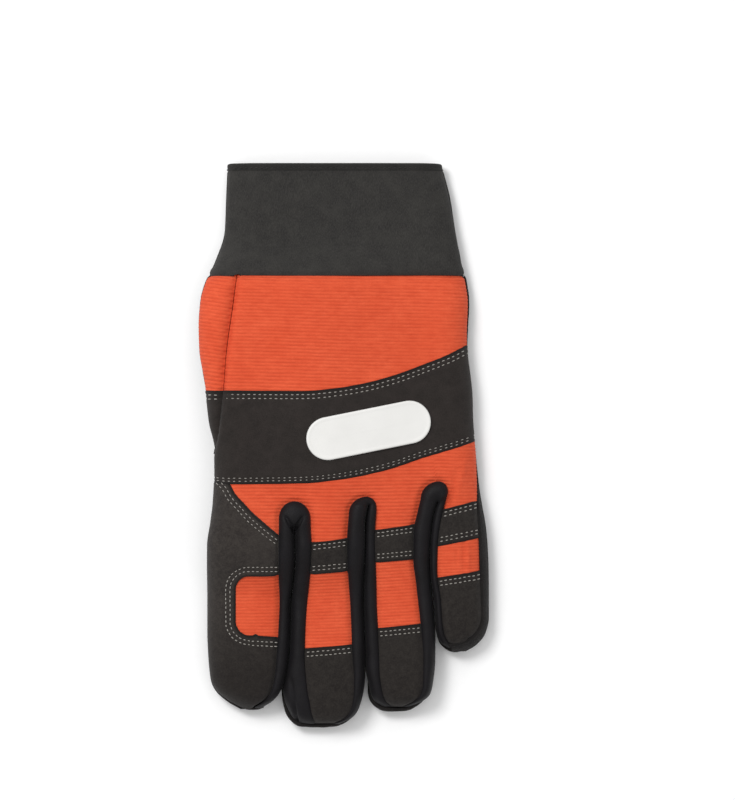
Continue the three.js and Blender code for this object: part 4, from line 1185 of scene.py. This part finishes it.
def make_finger(i):
    """A finger's knuckle band, orange panel and tip cap."""
    name = NAMES[i]
    which = lambda x: np.full(x.shape, i)
    line = lambda pairs, shift=0.0: lambda x: slant(i, pairs, np.asarray(x, float)) + shift
    top, knuckle, cap = line(KNUCKLE_TOP), line(KNUCKLE_BOTTOM), line(CAP_EDGE)
    x, y = finger_grid(i, line(KNUCKLE_TOP, FOLD_GAP), line(KNUCKLE_BOTTOM, -FOLD_GAP), FOLD, 0.8, FOLD)
    from_top, from_bottom = top(x) - y, y - knuckle(x)
    inset = np.minimum(from_top, from_bottom)
    rise = over_edge(inset) + seam_dip(i, x, y)
    for distance, rows in ((from_top, KNUCKLE_TOP_ROWS), (from_bottom, KNUCKLE_BOTTOM_ROWS)):
        rise = rise + stitch_dips(distance, rows) + puckers(distance, x, rows)
    suede_piece(f"knuckle_band_{name}_suede", f"knuckle_band_{name}", x, y, rise, inset, TIP_SUEDE, "suede",
                40 + i, which(x))
    x, y = finger_grid(i, line(KNUCKLE_BOTTOM, TUCK), line(CAP_EDGE, -TUCK), TUCKED, RIB_STEP, TUCKED)
    rise = under_edge(knuckle(x) - y) + under_edge(y - cap(x)) + seam_dip(i, x, y)
    knit_piece(f"finger_panel_{name}_knit", f"finger_panel_{name}", x, y, rise, FINGER_RIBS, -0.04, 50 + i,
               which(x))
    x, y = finger_grid(i, line(CAP_EDGE, FOLD_GAP), None, FOLD, 0.9, None)
    from_top = cap(x) - y
    rise = over_edge(from_top) + stitch_dips(from_top, CAP_ROWS) + puckers(from_top, x, CAP_ROWS)
    rise = rise + seam_dip(i, x, y)
    if i == 3:
        rise = rise + under_edge(strip_distance(x, y))
    rise = lerp(rise, -0.1, ramp(y, TIPS[i] + 3.0, TIPS[i] + TIP_END))
    suede_piece(f"tip_cap_{name}_suede", f"tip_cap_{name}", x, y, rise, from_top, TIP_SUEDE, "suede", 60 + i,
                which(x))


def strip_distance(x, y):
    """Distance in from the little finger's side leather."""
    keys = np.linspace(0, 10, 90)
    seam_x, seam_y = look(EDGE_STRIP, "seamX", keys), look(EDGE_STRIP, "seamY", keys)
    gap = np.hypot(x[..., None] - seam_x, y[..., None] - seam_y).min(-1)
    outside = (x > strip_seam(y)) | (y < -91.0)
    return np.where(outside, -gap, gap)


def make_edge_strip():
    """The leather that comes round the little finger's side, from its seam to the edge."""
    keys = np.linspace(0, 10, 150)[:, None]
    across = np.concatenate([[-0.05], np.linspace(0, 0.35, 10), np.linspace(0.42, 1, 16)])[None, :]
    seam_x, seam_y = look(EDGE_STRIP, "seamX", keys), look(EDGE_STRIP, "seamY", keys)
    outer_x, outer_y = look(EDGE_STRIP, "outerX", keys), look(EDGE_STRIP, "outerY", keys)
    outer_x = np.where(outer_y > -84, glove_side("right", outer_y), outer_x)
    eased = np.where(across > 0, np.sin(np.clip(across, 0, 1) * math.pi / 2), across)
    x = lerp(seam_x, outer_x, eased)
    y = lerp(seam_y, outer_y, eased)
    x = np.minimum(x, glove_side("right", y))
    inset = np.hypot(x - seam_x, y - seam_y) * np.sign(across + 1e-9)
    rise = 0.9 * over_edge(inset)
    sides = two_sides(back_height, x, y, (rise, np.minimum(rise, 0.3) - 0.8), np.full(x.shape, 3))
    sheet("little_side_leather", sides, LEATHER, [])


# Fourchettes

def fork_rows(fork):
    """Rows of a fourchette from the left fingertip round the crotch to the right one: the seam point,
    the valley point, and the finger that they belong to, -1 round the arch."""
    _, (left, right) = fork_shape(fork)
    finger, other = fork["left"], fork["left"] + 1
    beside = lambda y: float(look(ROWS[finger], "right", y))
    seam = lambda half, y: np.array([np.interp(y, half[:, 1], half[:, 0]), y])
    valley = np.array([beside(fork["valley"]), fork["valley"]])
    out = []
    for y in tip_rows(TIPS[finger], valley[1], 1.0)[::-1]:
        out.append((seam(left, y), np.array([beside(y), y]), finger))
    above = [half[half[:, 1] > valley[1] + 0.2] for half in (left, right)]
    arch = np.concatenate([above[0], above[1][::-1][1:]])
    run = run_along(arch)
    for point in walk(arch, run, np.linspace(0, run[-1], 44)):
        out.append((point, valley, -1))
    for y in tip_rows(TIPS[other], valley[1], 1.0):
        gap = max(float(look(ROWS[other], "left", y)), beside(y) if y > TIPS_PART else -FAR)
        out.append((seam(right, y), np.array([gap, y]), other))
    return out


def fork_profile(width, seam_top, floor, turn, crown):
    """From the seam over the roll, down beside the gap and under to the palm: distances out, heights."""
    turn = math.radians(turn)
    angle = turn * np.linspace(1, 0, 19)
    across = (width - FORK_GAP) / (1 - math.cos(turn))
    high = crown / (1 - math.sin(turn))
    foot = floor + FORK_FOOT
    centre = max(seam_top - high * math.sin(turn), foot + 0.3)
    roll = (FORK_GAP + across * (1 - np.cos(angle)), centre + high * np.sin(angle))
    down = (np.full(3, FORK_GAP), lerp(centre, foot, np.array([0.3, 0.65, 1.0])))
    under = np.radians(92) * np.linspace(0, 1, 7)[1:]
    curl = (FORK_GAP + FORK_FOOT * (1 - np.cos(under)) * 1.15, foot - FORK_FOOT * np.sin(under))
    return [np.concatenate(parts) for parts in zip(roll, down, curl)]


def distance_to(x, y, start, end):
    """Distance of places in plan to a line between two points, and how far along it they are."""
    start, end = np.array(start), np.array(end)
    along = end - start
    t = np.clip(((x - start[0]) * along[0] + (y - start[1]) * along[1]) / (along @ along), 0, 1)
    return np.hypot(x - start[0] - t * along[0], y - start[1] - t * along[1]), t


def make_fork(fork):
    """A fourchette: two padded rolls that meet along the gap, round an arch at the crotch."""
    rows = fork_rows(fork)
    points, walls = [], []
    for seam, valley, which in rows:
        way = seam - valley
        width = np.hypot(*way)
        way = way / width
        at = np.array(which) if which >= 0 else None
        y = float(valley[1]) if which >= 0 else float(seam[1])
        opened = float(openness(at, valley[1])) if which >= 0 else 1.0
        middle = float(seam_height(*valley))
        seam_top = float(back_height(seam[0], seam[1], at)) - 0.5 * opened
        floor = float(palm_height(valley[0], valley[1], at))
        flat = lambda z: middle + (z - middle) / opened
        crown = min(float(look(FORK_TURN, "crown", y)), 0.42 * width)
        turn = float(look(FORK_TURN, "angle", y))
        out, height = fork_profile(width, flat(seam_top), flat(floor), turn, crown)
        height = middle + (height - middle) * opened
        row = np.stack([valley[0] + way[0] * out, valley[1] + way[1] * out, height], -1)
        points.append(row if which < 0 else draw_in(row, np.full(len(row), which)))
        walls.append(FORK_WALL * min(1.0, opened / 0.6))
    points = np.array(points)
    x, y = points[..., 0], points[..., 1]
    place = np.arange(points.shape[1])
    soft = 0.22 * uneven(x, y, 11, 70 + fork["left"]) + 0.08 * uneven(x, y, 4.5, 80 + fork["left"])
    soft = soft * np.sqrt(np.maximum(np.sin(math.pi * np.minimum(place / ROLL_STEPS, 1)), 0))
    if fork["left"] == 0:
        for start, end, width, depth in CREASES:
            gap, t = distance_to(x, y, start, end)
            fade = (1 - 0.4 * t) * ramp(t, 1, 0.8) * (place < ROLL_STEPS + 2)
            soft = soft - depth * bump(gap, width) * fade
    across = np.gradient(points, axis=1)
    along = np.gradient(points, axis=0)
    normal = np.cross(across, along)
    normal /= np.maximum(np.linalg.norm(normal, axis=-1, keepdims=True), 1e-9)
    if normal[len(rows) // 4, 9, 2] < 0:
        normal = -normal
    sides = (points + normal * soft[..., None], points - normal * np.array(walls)[:, None, None])
    sheet(f"{fork['name']}_cloth", sides, FORK, [fork["name"]])


# Patch

def make_patch():
    """A bar with round ends and a raised rim, in rings from its foot inwards: inset and share of its rise."""
    turn = math.radians(PATCH["turn"])
    radius = PATCH["width"] / 2
    straight = PATCH["length"] / 2 - radius
    rim = [(0.0, 0.0), (0.0, 0.55), (0.12, 0.8), (0.35, 0.95), (0.7, 1.0), (1.2, 0.98), (1.7, 0.91)]
    rings = rim + [(inset, 0.9) for inset in (2.3, 3.6, 5.0, 6.4, 7.8, 9.0, 9.78)]
    half_round = 40
    angles = np.radians(np.concatenate([np.linspace(-90, 90, half_round), np.linspace(90, 270, half_round)]))
    ends = np.repeat([straight, -straight], half_round)
    points = []
    for inset, share in rings:
        along = ends + (radius - inset) * np.cos(angles)
        across = (radius - inset) * np.sin(angles)
        x = PATCH["x"] + along * math.cos(turn) - across * math.sin(turn)
        y = PATCH["y"] + along * math.sin(turn) + across * math.cos(turn)
        points.append(on_face(back_height, x, y, lerp(PANEL_RISE - 0.3, PATCH_RISE, share)))
    faces = closed_rings(len(rings), len(angles))
    make_piece("patch_rubber", np.concatenate(points), faces, PATCH_RUBBER, ["patch"])


# Cuff

def make_cuff():
    """Both faces of the cuff, each with its hem."""
    hem_line = CUFF_TOP - HEM_WIDTH
    shares = shares_across(104.0, SIDE, 1.6, SIDE)
    for face, height, seed in (("back", back_height, 90), ("palm", palm_height, 91)):
        x, y = plan_grid(side("left"), side("right"), level(hem_line + 0.6), level(WRIST_SEAM), shares,
                         [0, 0.3, 0.6], 0.9, [0, 0.25, 0.5, 0.9, 1.4])
        wave = 0.3 * uneven(x, 0.4 * y, 16, seed) + 0.05 * np.sin(2 * math.pi * x / 2.1)
        rise = wave - 0.5 * bump(y - WRIST_SEAM, 0.7) + 0.25 * bump(y - WRIST_SEAM - 2.2, 1.6)
        if face == "palm":
            rise = palm_flat(x, y, rise)
        sides = two_sides(height, x, y, (rise, rise - CUFF_WALL))
        sheet(f"cuff_{face}_cloth", sides, CUFF, [f"cuff_{face}"])
        make_hem(face, height, shares, hem_line, seed)


def make_hem(face, height, shares, hem_line, seed):
    """The folded hem: round over the top edge and stitched near its lower one."""
    turn = np.linspace(0, math.pi / 2, 8)
    half = HEM_WALL / 2
    up = np.array([0, 0.05, 0.2, 0.45, 0.8, 1.2, 1.6])
    bulge = HEM_RISE * np.sqrt(1 - np.clip(1 - up / FOLD_ROUND, 0, 1) ** 2)
    dip = STITCH_DIP * bump(up - HEM_ROW, 0.35)
    y = np.concatenate([hem_line + up, CUFF_TOP - half + half * np.sin(turn)])
    y = np.repeat(y[:, None], len(shares), axis=1)
    out = np.concatenate([bulge - dip, HEM_RISE - half + half * np.cos(turn)])[:, None]
    back = np.concatenate([np.full(len(up), HEM_RISE - HEM_WALL), HEM_RISE - half - half * np.cos(turn)])
    x = lerp(glove_side("left", y), glove_side("right", y), shares[None, :])
    rise = out + 0.3 * uneven(x, 0.4 * y, 16, seed)
    if face == "palm":
        rise = palm_flat(x, y, rise)
    sides = two_sides(height, x, y, (rise, rise - out + back[:, None]))
    sheet(f"cuff_hem_{face}_cloth", sides, HEM, [f"cuff_hem_{face}"])


# Palm and thumb

def palm_grain(x, y, seed):
    """Soft unevenness of the palm leather."""
    return 0.25 * uneven(x, y, 24, seed) + 0.07 * uneven(x, y, 6, seed + 1)


def from_thumb_hole(x, y):
    """Above 1 outside the oval opening between the palm and the thumb."""
    beside = (x - THUMB_HOLE["x"]) / THUMB_HOLE["half_width"]
    along = (y - THUMB_HOLE["y"]) / THUMB_HOLE["half_length"]
    return np.hypot(beside, along)


def make_palm():
    """The palm, open to the thumb and at the fourchettes' feet, and the fingers' palm sides."""
    shares = shares_across(120.0, SIDE, 0.95, SIDE)
    x, y = plan_grid(side("left"), side("right"), level(WRIST_SEAM), level(min(PALM_ROOT)), shares,
                     [0, 0.3, 0.7, 1.2], 0.9, [0, 0.3])
    foot = np.max([depth_in_foot(fork, x, y) for fork in FORKS], axis=0)
    root = per_finger(finger_at(x, y), PALM_ROOT)
    keep_at = (from_thumb_hole(x, y) > 1) & (foot < 0.5) & (y > root)
    keep = keep_at[:-1, :-1] & keep_at[1:, 1:] & keep_at[1:, :-1] & keep_at[:-1, 1:]
    rise = palm_flat(x, y, palm_grain(x, y, 100)) - 0.5 * bump(y - WRIST_SEAM, 0.8)
    sheet("palm_skin", two_sides(palm_height, x, y, (rise, rise - PALM_WALL)), LEATHER, ["palm"],
          keep=keep)
    for i in range(4):
        make_finger_palm(i)


def depth_in_foot(fork, x, y):
    """How far a place is inside the space that a fourchette's foot takes in the palm."""
    radius = FORK_GAP + FORK_FOOT
    rows = ROWS[fork["left"]]
    centre = float(look(rows, "right", fork["valley"]))
    gap = look(rows, "right", np.minimum(y, fork["valley"]))
    beside = radius - np.abs(x - gap)
    above = radius - np.hypot(x - centre, y - fork["valley"])
    return np.where(y > fork["valley"], above, beside)


def palm_flat(x, y, rise):
    """Keeps what touches the surface from sinking into it."""
    low = palm_height(x, y)
    return np.where(low < 0.8, np.minimum(rise, 0.9 * low - LOWEST), rise)


def make_finger_palm(i):
    """The palm side of one finger, between the feet of its fourchettes."""
    rows = ROWS[i]
    margin = FORK_GAP + FORK_FOOT
    left = side("left") if i == 0 else lambda y: look(rows, "left", y) + margin
    right = side("right") if i == 3 else lambda y: look(rows, "right", y) - margin
    inner_side = [0, 0.5, 1.2]
    shares = shares_across(26.0, SIDE if i == 0 else inner_side, 1.1, SIDE if i == 3 else inner_side)
    y = tip_rows(TIPS[i], PALM_ROOT[i] + 0.2, 1.1)[:, None]
    x = lerp(left(y), right(y), shares[None, :])
    y = np.repeat(y, len(shares), axis=1)
    which = np.full(x.shape, i)
    rise = palm_flat(x, y, palm_grain(x, y, 110 + i)) - 0.35 * bump(y - PALM_ROOT[i], 0.8)
    wall = PALM_WALL * lerp(0.5, 1, openness(which, y))
    sides = [draw_in(points, which) for points in two_sides(palm_height, x, y, (rise, rise - wall), which)]
    sheet(f"palm_{NAMES[i]}_skin", sides, LEATHER, [f"palm_{NAMES[i]}"])


def pouch(across, along, shrink):
    """A flat closed pouch along the line from the thumb's heel to its toe."""
    heel, toe = np.array(THUMB_HEEL), np.array(THUMB_TOE)
    length = np.hypot(*(toe - heel))
    forward = (toe - heel) / length
    sideways = np.array([forward[1], -forward[0]])
    centre = (heel + toe) / 2
    place = np.sign(along) * np.abs(along) ** 0.85
    opened = np.sqrt(np.clip(1 - along**2, 0, 1)) ** 0.42
    width = (look(THUMB_WIDTH, "half", (place + 1) / 2) - shrink) * opened
    height = (THUMB_HEIGHT / 2 - shrink) * opened
    beside = np.sign(np.cos(across)) * np.abs(np.cos(across)) ** 0.8 * width
    up = np.sign(np.sin(across)) * np.abs(np.sin(across)) ** 0.55 * height
    reach = place * (length / 2 - shrink)
    x = centre[0] + forward[0] * reach + sideways[0] * beside
    y = centre[1] + forward[1] * reach + sideways[1] * beside
    return np.stack([x, y, THUMB_HEIGHT / 2 + up], -1)


def make_thumb():
    """The thumb's two halves and the welts along their seams."""
    along = -np.cos(np.linspace(0.02, math.pi - 0.02, 90))[:, None]
    for name, start, end in (("upper", 0.0, math.pi), ("lower", math.pi, 2 * math.pi)):
        share = 0.5 - 0.5 * np.cos(np.linspace(0, math.pi, 46))
        across = lerp(start + 0.02, end - 0.02, share)[None, :]
        outer = pouch(across, along, 0.0)
        inner = pouch(across, along, THUMB_WALL)
        x, y = outer[..., 0], outer[..., 1]
        crease = 0.3 * uneven(x, y, 15, 120) * np.sin(np.clip(across - start, 0, math.pi))
        outer = outer + (inner - outer) / THUMB_WALL * np.abs(crease)[..., None]
        outside = from_thumb_hole(x, y) > 1
        keep = outside[:-1, :-1] & outside[1:, 1:] if name == "upper" else None
        sheet(f"thumb_{name}_skin", (outer, inner), LEATHER, [f"thumb_{name}"], keep=keep)
    for way, first in (("outer", 0.0), ("inner", math.pi)):
        path = pouch(np.full((90, 1), first), along, 0.0)[:, 0]
        tube(f"thumb_{way}_welt", path, 0.55, LEATHER)


# Welts along the side seams and round the fingertips

def seam_path(column, y, inset=0.2):
    """Along a side seam, a little inside the outline."""
    way = -1 if column == "left" else 1
    x = glove_side(column, y) - way * inset
    return np.stack([x, y, seam_height(x, y) + 0.02], -1)


def tip_path(i, reach_left, reach_right):
    """Round a fingertip, from its left side to its right one, a little inside its outline."""
    rows, tip = ROWS[i], TIPS[i]
    quarter = np.linspace(0, math.pi / 2, 24)
    down = tip + TIP_END + (reach_left - TIP_END) * (1 - np.sin(quarter))
    up = tip + TIP_END + (reach_right - TIP_END) * (1 - np.cos(quarter))
    inset = LIP_INSET[i]
    left = np.stack([look(rows, "left", down) + inset, down + inset], -1)
    right = np.stack([look(rows, "right", up) - inset, up + inset], -1)
    turn = np.linspace(0, 1, 14)[1:-1, None]
    end = lerp(left[-1], right[0], turn)
    end[:, 1] -= 0.5 * np.sin(turn[:, 0] * math.pi)
    plan = np.concatenate([left, end, right])
    run = run_along(plan)
    even = np.linspace(0, run[-1], 90)
    plan = walk(plan, run, even)
    for _ in range(14):
        plan[1:-1] = 0.5 * plan[1:-1] + 0.25 * (plan[:-2] + plan[2:])
    x, y = plan.T
    return np.stack([x, y, seam_height(x, y) + 0.05], -1), even / run[-1]


def make_welts():
    """Welts of the cuff and of the hand's two sides, and the lips round the fingertips."""
    y = np.linspace(CUFF_TOP - HEM_WIDTH, 79.0, 60)
    for column in ("left", "right"):
        tube(f"cuff_{column}_welt", seam_path(column, y), 0.45, CUFF)
    y = np.concatenate([np.linspace(WRIST_SEAM, -90.0, 150), tip_rows(TIPS[0], -91.0, 1.2)])
    radius = np.interp(-y, [-78, 15, 30, 122], [0.3, 0.35, 0.75, 0.8])
    inset = np.interp(-y, [-78, 10, 30, 122], [0.45, 0.45, 0.2, 0.25])
    tube("index_side_welt", seam_path("left", y, inset), radius, LEATHER)
    y = np.concatenate([np.linspace(WRIST_SEAM, -70.0, 130), tip_rows(TIPS[3], -71.0, 1.2)])
    inset = np.interp(-y, [-60, -35, 0, 15], [-0.1, 0.7, 0.7, -0.1])
    tube("little_side_welt", seam_path("right", y, inset), 0.65, LEATHER)
    for i, thick in enumerate(LIP_THICK):
        path, share = tip_path(i, LIP_REACH[i] - 6, 8)
        full = ramp(share, 0.0, 0.35) * ramp(share, 1.0, 0.72)
        lumps = 1 + 0.07 * uneven(path[:, 0], path[:, 1], 3.5, 130 + i)
        tube(f"{NAMES[i]}_tip_lip", path, lerp(0.5, thick, full) * lumps, LEATHER, 14,
             lerp(0.5, LIP_HIGH[i], full) * lumps)


# Stitching

def sew_band():
    """Rows along both edges of the hand band."""
    sewn = Thread(5)
    x = np.linspace(-58.2, 57.6, 400)
    for inset in BAND_TOP_ROWS:
        keep = x > look(THUMB_SIDE_SEAM, "x", look(BAND_TOP, "y", x)) + 1.0
        sewn.sew(x[keep], (look(BAND_TOP, "y", x) - inset / steepness(BAND_TOP, x))[keep], STITCH_RISE)
        strip = np.linspace(-62.0, -56.6, 20)
        sewn.sew(strip, look(BAND_TOP, "y", strip) - inset - 0.3, STITCH_RISE)
    for inset in BAND_BOTTOM_ROWS:
        y = look(BAND_BOTTOM, "y", x) + inset / steepness(BAND_BOTTOM, x)
        sewn.sew(x, y, STITCH_RISE - 0.04, pitch=2.5, length=1.05, thick=0.8)
    sewn.finish("band_stitches", THREAD)


def sew_index():
    """Rows along the index panel's slanting edge and round its window."""
    sewn = Thread(6)
    for inset in DIAGONAL_ROWS:
        y = np.linspace(-13.0, -41.5, 140)
        x = look(INDEX_EDGE, "x", y)
        ahead = np.stack([np.gradient(x), np.gradient(y)], -1)
        ahead /= np.linalg.norm(ahead, axis=1, keepdims=True)
        row_x, row_y = x + ahead[:, 1] * inset, y - ahead[:, 0] * inset
        inside = (row_x < look(INDEX, "seamRight", row_y) - 0.1) & (row_x > glove_side("left", row_y) + 0.5)
        inside &= row_y < look(BAND_BOTTOM, "y", row_x) + 1.0
        sewn.sew(row_x[inside], row_y[inside], STITCH_RISE, which=0, pitch=2.2, thick=0.88)
    for inset in WINDOW_ROWS:
        x, y = window_row(inset)
        sewn.sew(x, y, STITCH_RISE + 0.1, which=0, pitch=2.1, length=1.2)
    sewn.finish("index_stitches", THREAD)


def sew_fingers():
    """Rows along the edges of the knuckle bands and tip caps."""
    sewn = Thread(7)
    x = np.linspace(-20, 66, 600)
    for i in (1, 2, 3):
        for line, way, rows in ((KNUCKLE_TOP, -1, KNUCKLE_TOP_ROWS), (KNUCKLE_BOTTOM, 1, KNUCKLE_BOTTOM_ROWS),
                                (CAP_EDGE, -1, CAP_ROWS)):
            for inset in rows:
                y = slant(i, line, x) + way * inset
                start = look(ROWS[i], "seamLeft", y) + 0.3
                end = right_seam(i, y) - 0.2
                inside = (x > start) & (x < end)
                sewn.sew(x[inside], y[inside], STITCH_RISE - 0.05, which=i, pitch=2.2, length=1.2)
    sewn.finish("finger_stitches", THREAD)


def sew_hem():
    """One dark row along the cuff's hem, on both faces."""
    sewn = Thread(8)
    x = np.linspace(-50.5, 41.5, 300)
    for height, rise in ((back_height, HEM_RISE), (palm_height, 0.05)):
        sewn.sew(x, np.full_like(x, CUFF_TOP - HEM_WIDTH + HEM_ROW), rise, height=height)
    sewn.finish("hem_stitches", CUFF)


def window_row(inset):
    """A row of stitches outside the window's edge, from the seam round both corners to the seam."""
    left, top, corner = WINDOW["left"], WINDOW["top"], WINDOW["corner"]
    bottom_left, bottom_right = WINDOW["bottom"]
    reach = corner + inset
    turn = np.linspace(0, math.pi / 2, 30)
    top_x = np.linspace(-29.6, left + corner, 30)
    low_x = np.linspace(left + corner, -29.8, 30)
    low_y = lerp(bottom_left, bottom_right, (low_x - left) / WINDOW_SLANT) - inset
    across, along = reach * np.sin(turn), reach * np.cos(turn)
    x = np.concatenate([top_x, left + corner - across, left + corner - along, low_x])
    y = np.concatenate([np.full(30, top + inset), top - corner + along, bottom_left + corner - across, low_y])
    return x, y


# Surroundings

def make_floor():
    mesh = bpy.data.meshes.new("floor")
    reach = 4.0
    corners = [(x * reach, y * reach, 0) for x, y in ((-1, -1), (1, -1), (1, 1), (-1, 1))]
    mesh.from_pydata(corners, [], [(0, 1, 2, 3)])
    floor = bpy.data.objects.new("floor", mesh)
    mesh.materials.append(floor_material())
    bpy.context.scene.collection.objects.link(floor)


def make_camera():
    """Straight above, with the frame's long side taking in 365.6 mm at the height of the back."""
    data = bpy.data.cameras.new("camera")
    distance = 2.2
    long_side = 0.3656
    back = 0.013
    data.sensor_width = 36.0
    data.lens = data.sensor_width * (distance - back) / long_side
    camera = bpy.data.objects.new("camera", data)
    camera.location = (0.011, 0.0206, distance)
    bpy.context.scene.collection.objects.link(camera)
    bpy.context.scene.camera = camera


def make_lights():
    """A white room, a key light from above left and a broad fill."""
    world = bpy.data.worlds.new("studio")
    bpy.context.scene.world = world
    world.use_nodes = True
    world.node_tree.nodes["Background"].inputs["Color"].default_value = (1, 1, 1, 1)
    world.node_tree.nodes["Background"].inputs["Strength"].default_value = 0.7
    for name, place, size, power in (
        ("key", (-0.6, 0.62, 1.25), 0.5, 12.0),
        ("fill", (-0.1, 0.9, 1.5), 1.4, 4.0),
    ):
        data = bpy.data.lights.new(name, "AREA")
        data.size = size
        data.energy = power
        light = bpy.data.objects.new(name, data)
        light.location = place
        light.rotation_mode = "QUATERNION"
        light.rotation_quaternion = (-Vector(place)).to_track_quat("-Z", "Y")
        bpy.context.scene.collection.objects.link(light)
    bpy.context.scene.view_settings.view_transform = "Standard"


make_camera()
make_lights()
make_floor()
make_upper_back()
make_band()
make_lower_back()
make_index()
for finger in (1, 2, 3):
    make_finger(finger)
make_edge_strip()
for fork in FORKS:
    make_fork(fork)
make_patch()
make_cuff()
make_palm()
make_thumb()
make_welts()
sew_band()
sew_index()
sew_fingers()
sew_hem()
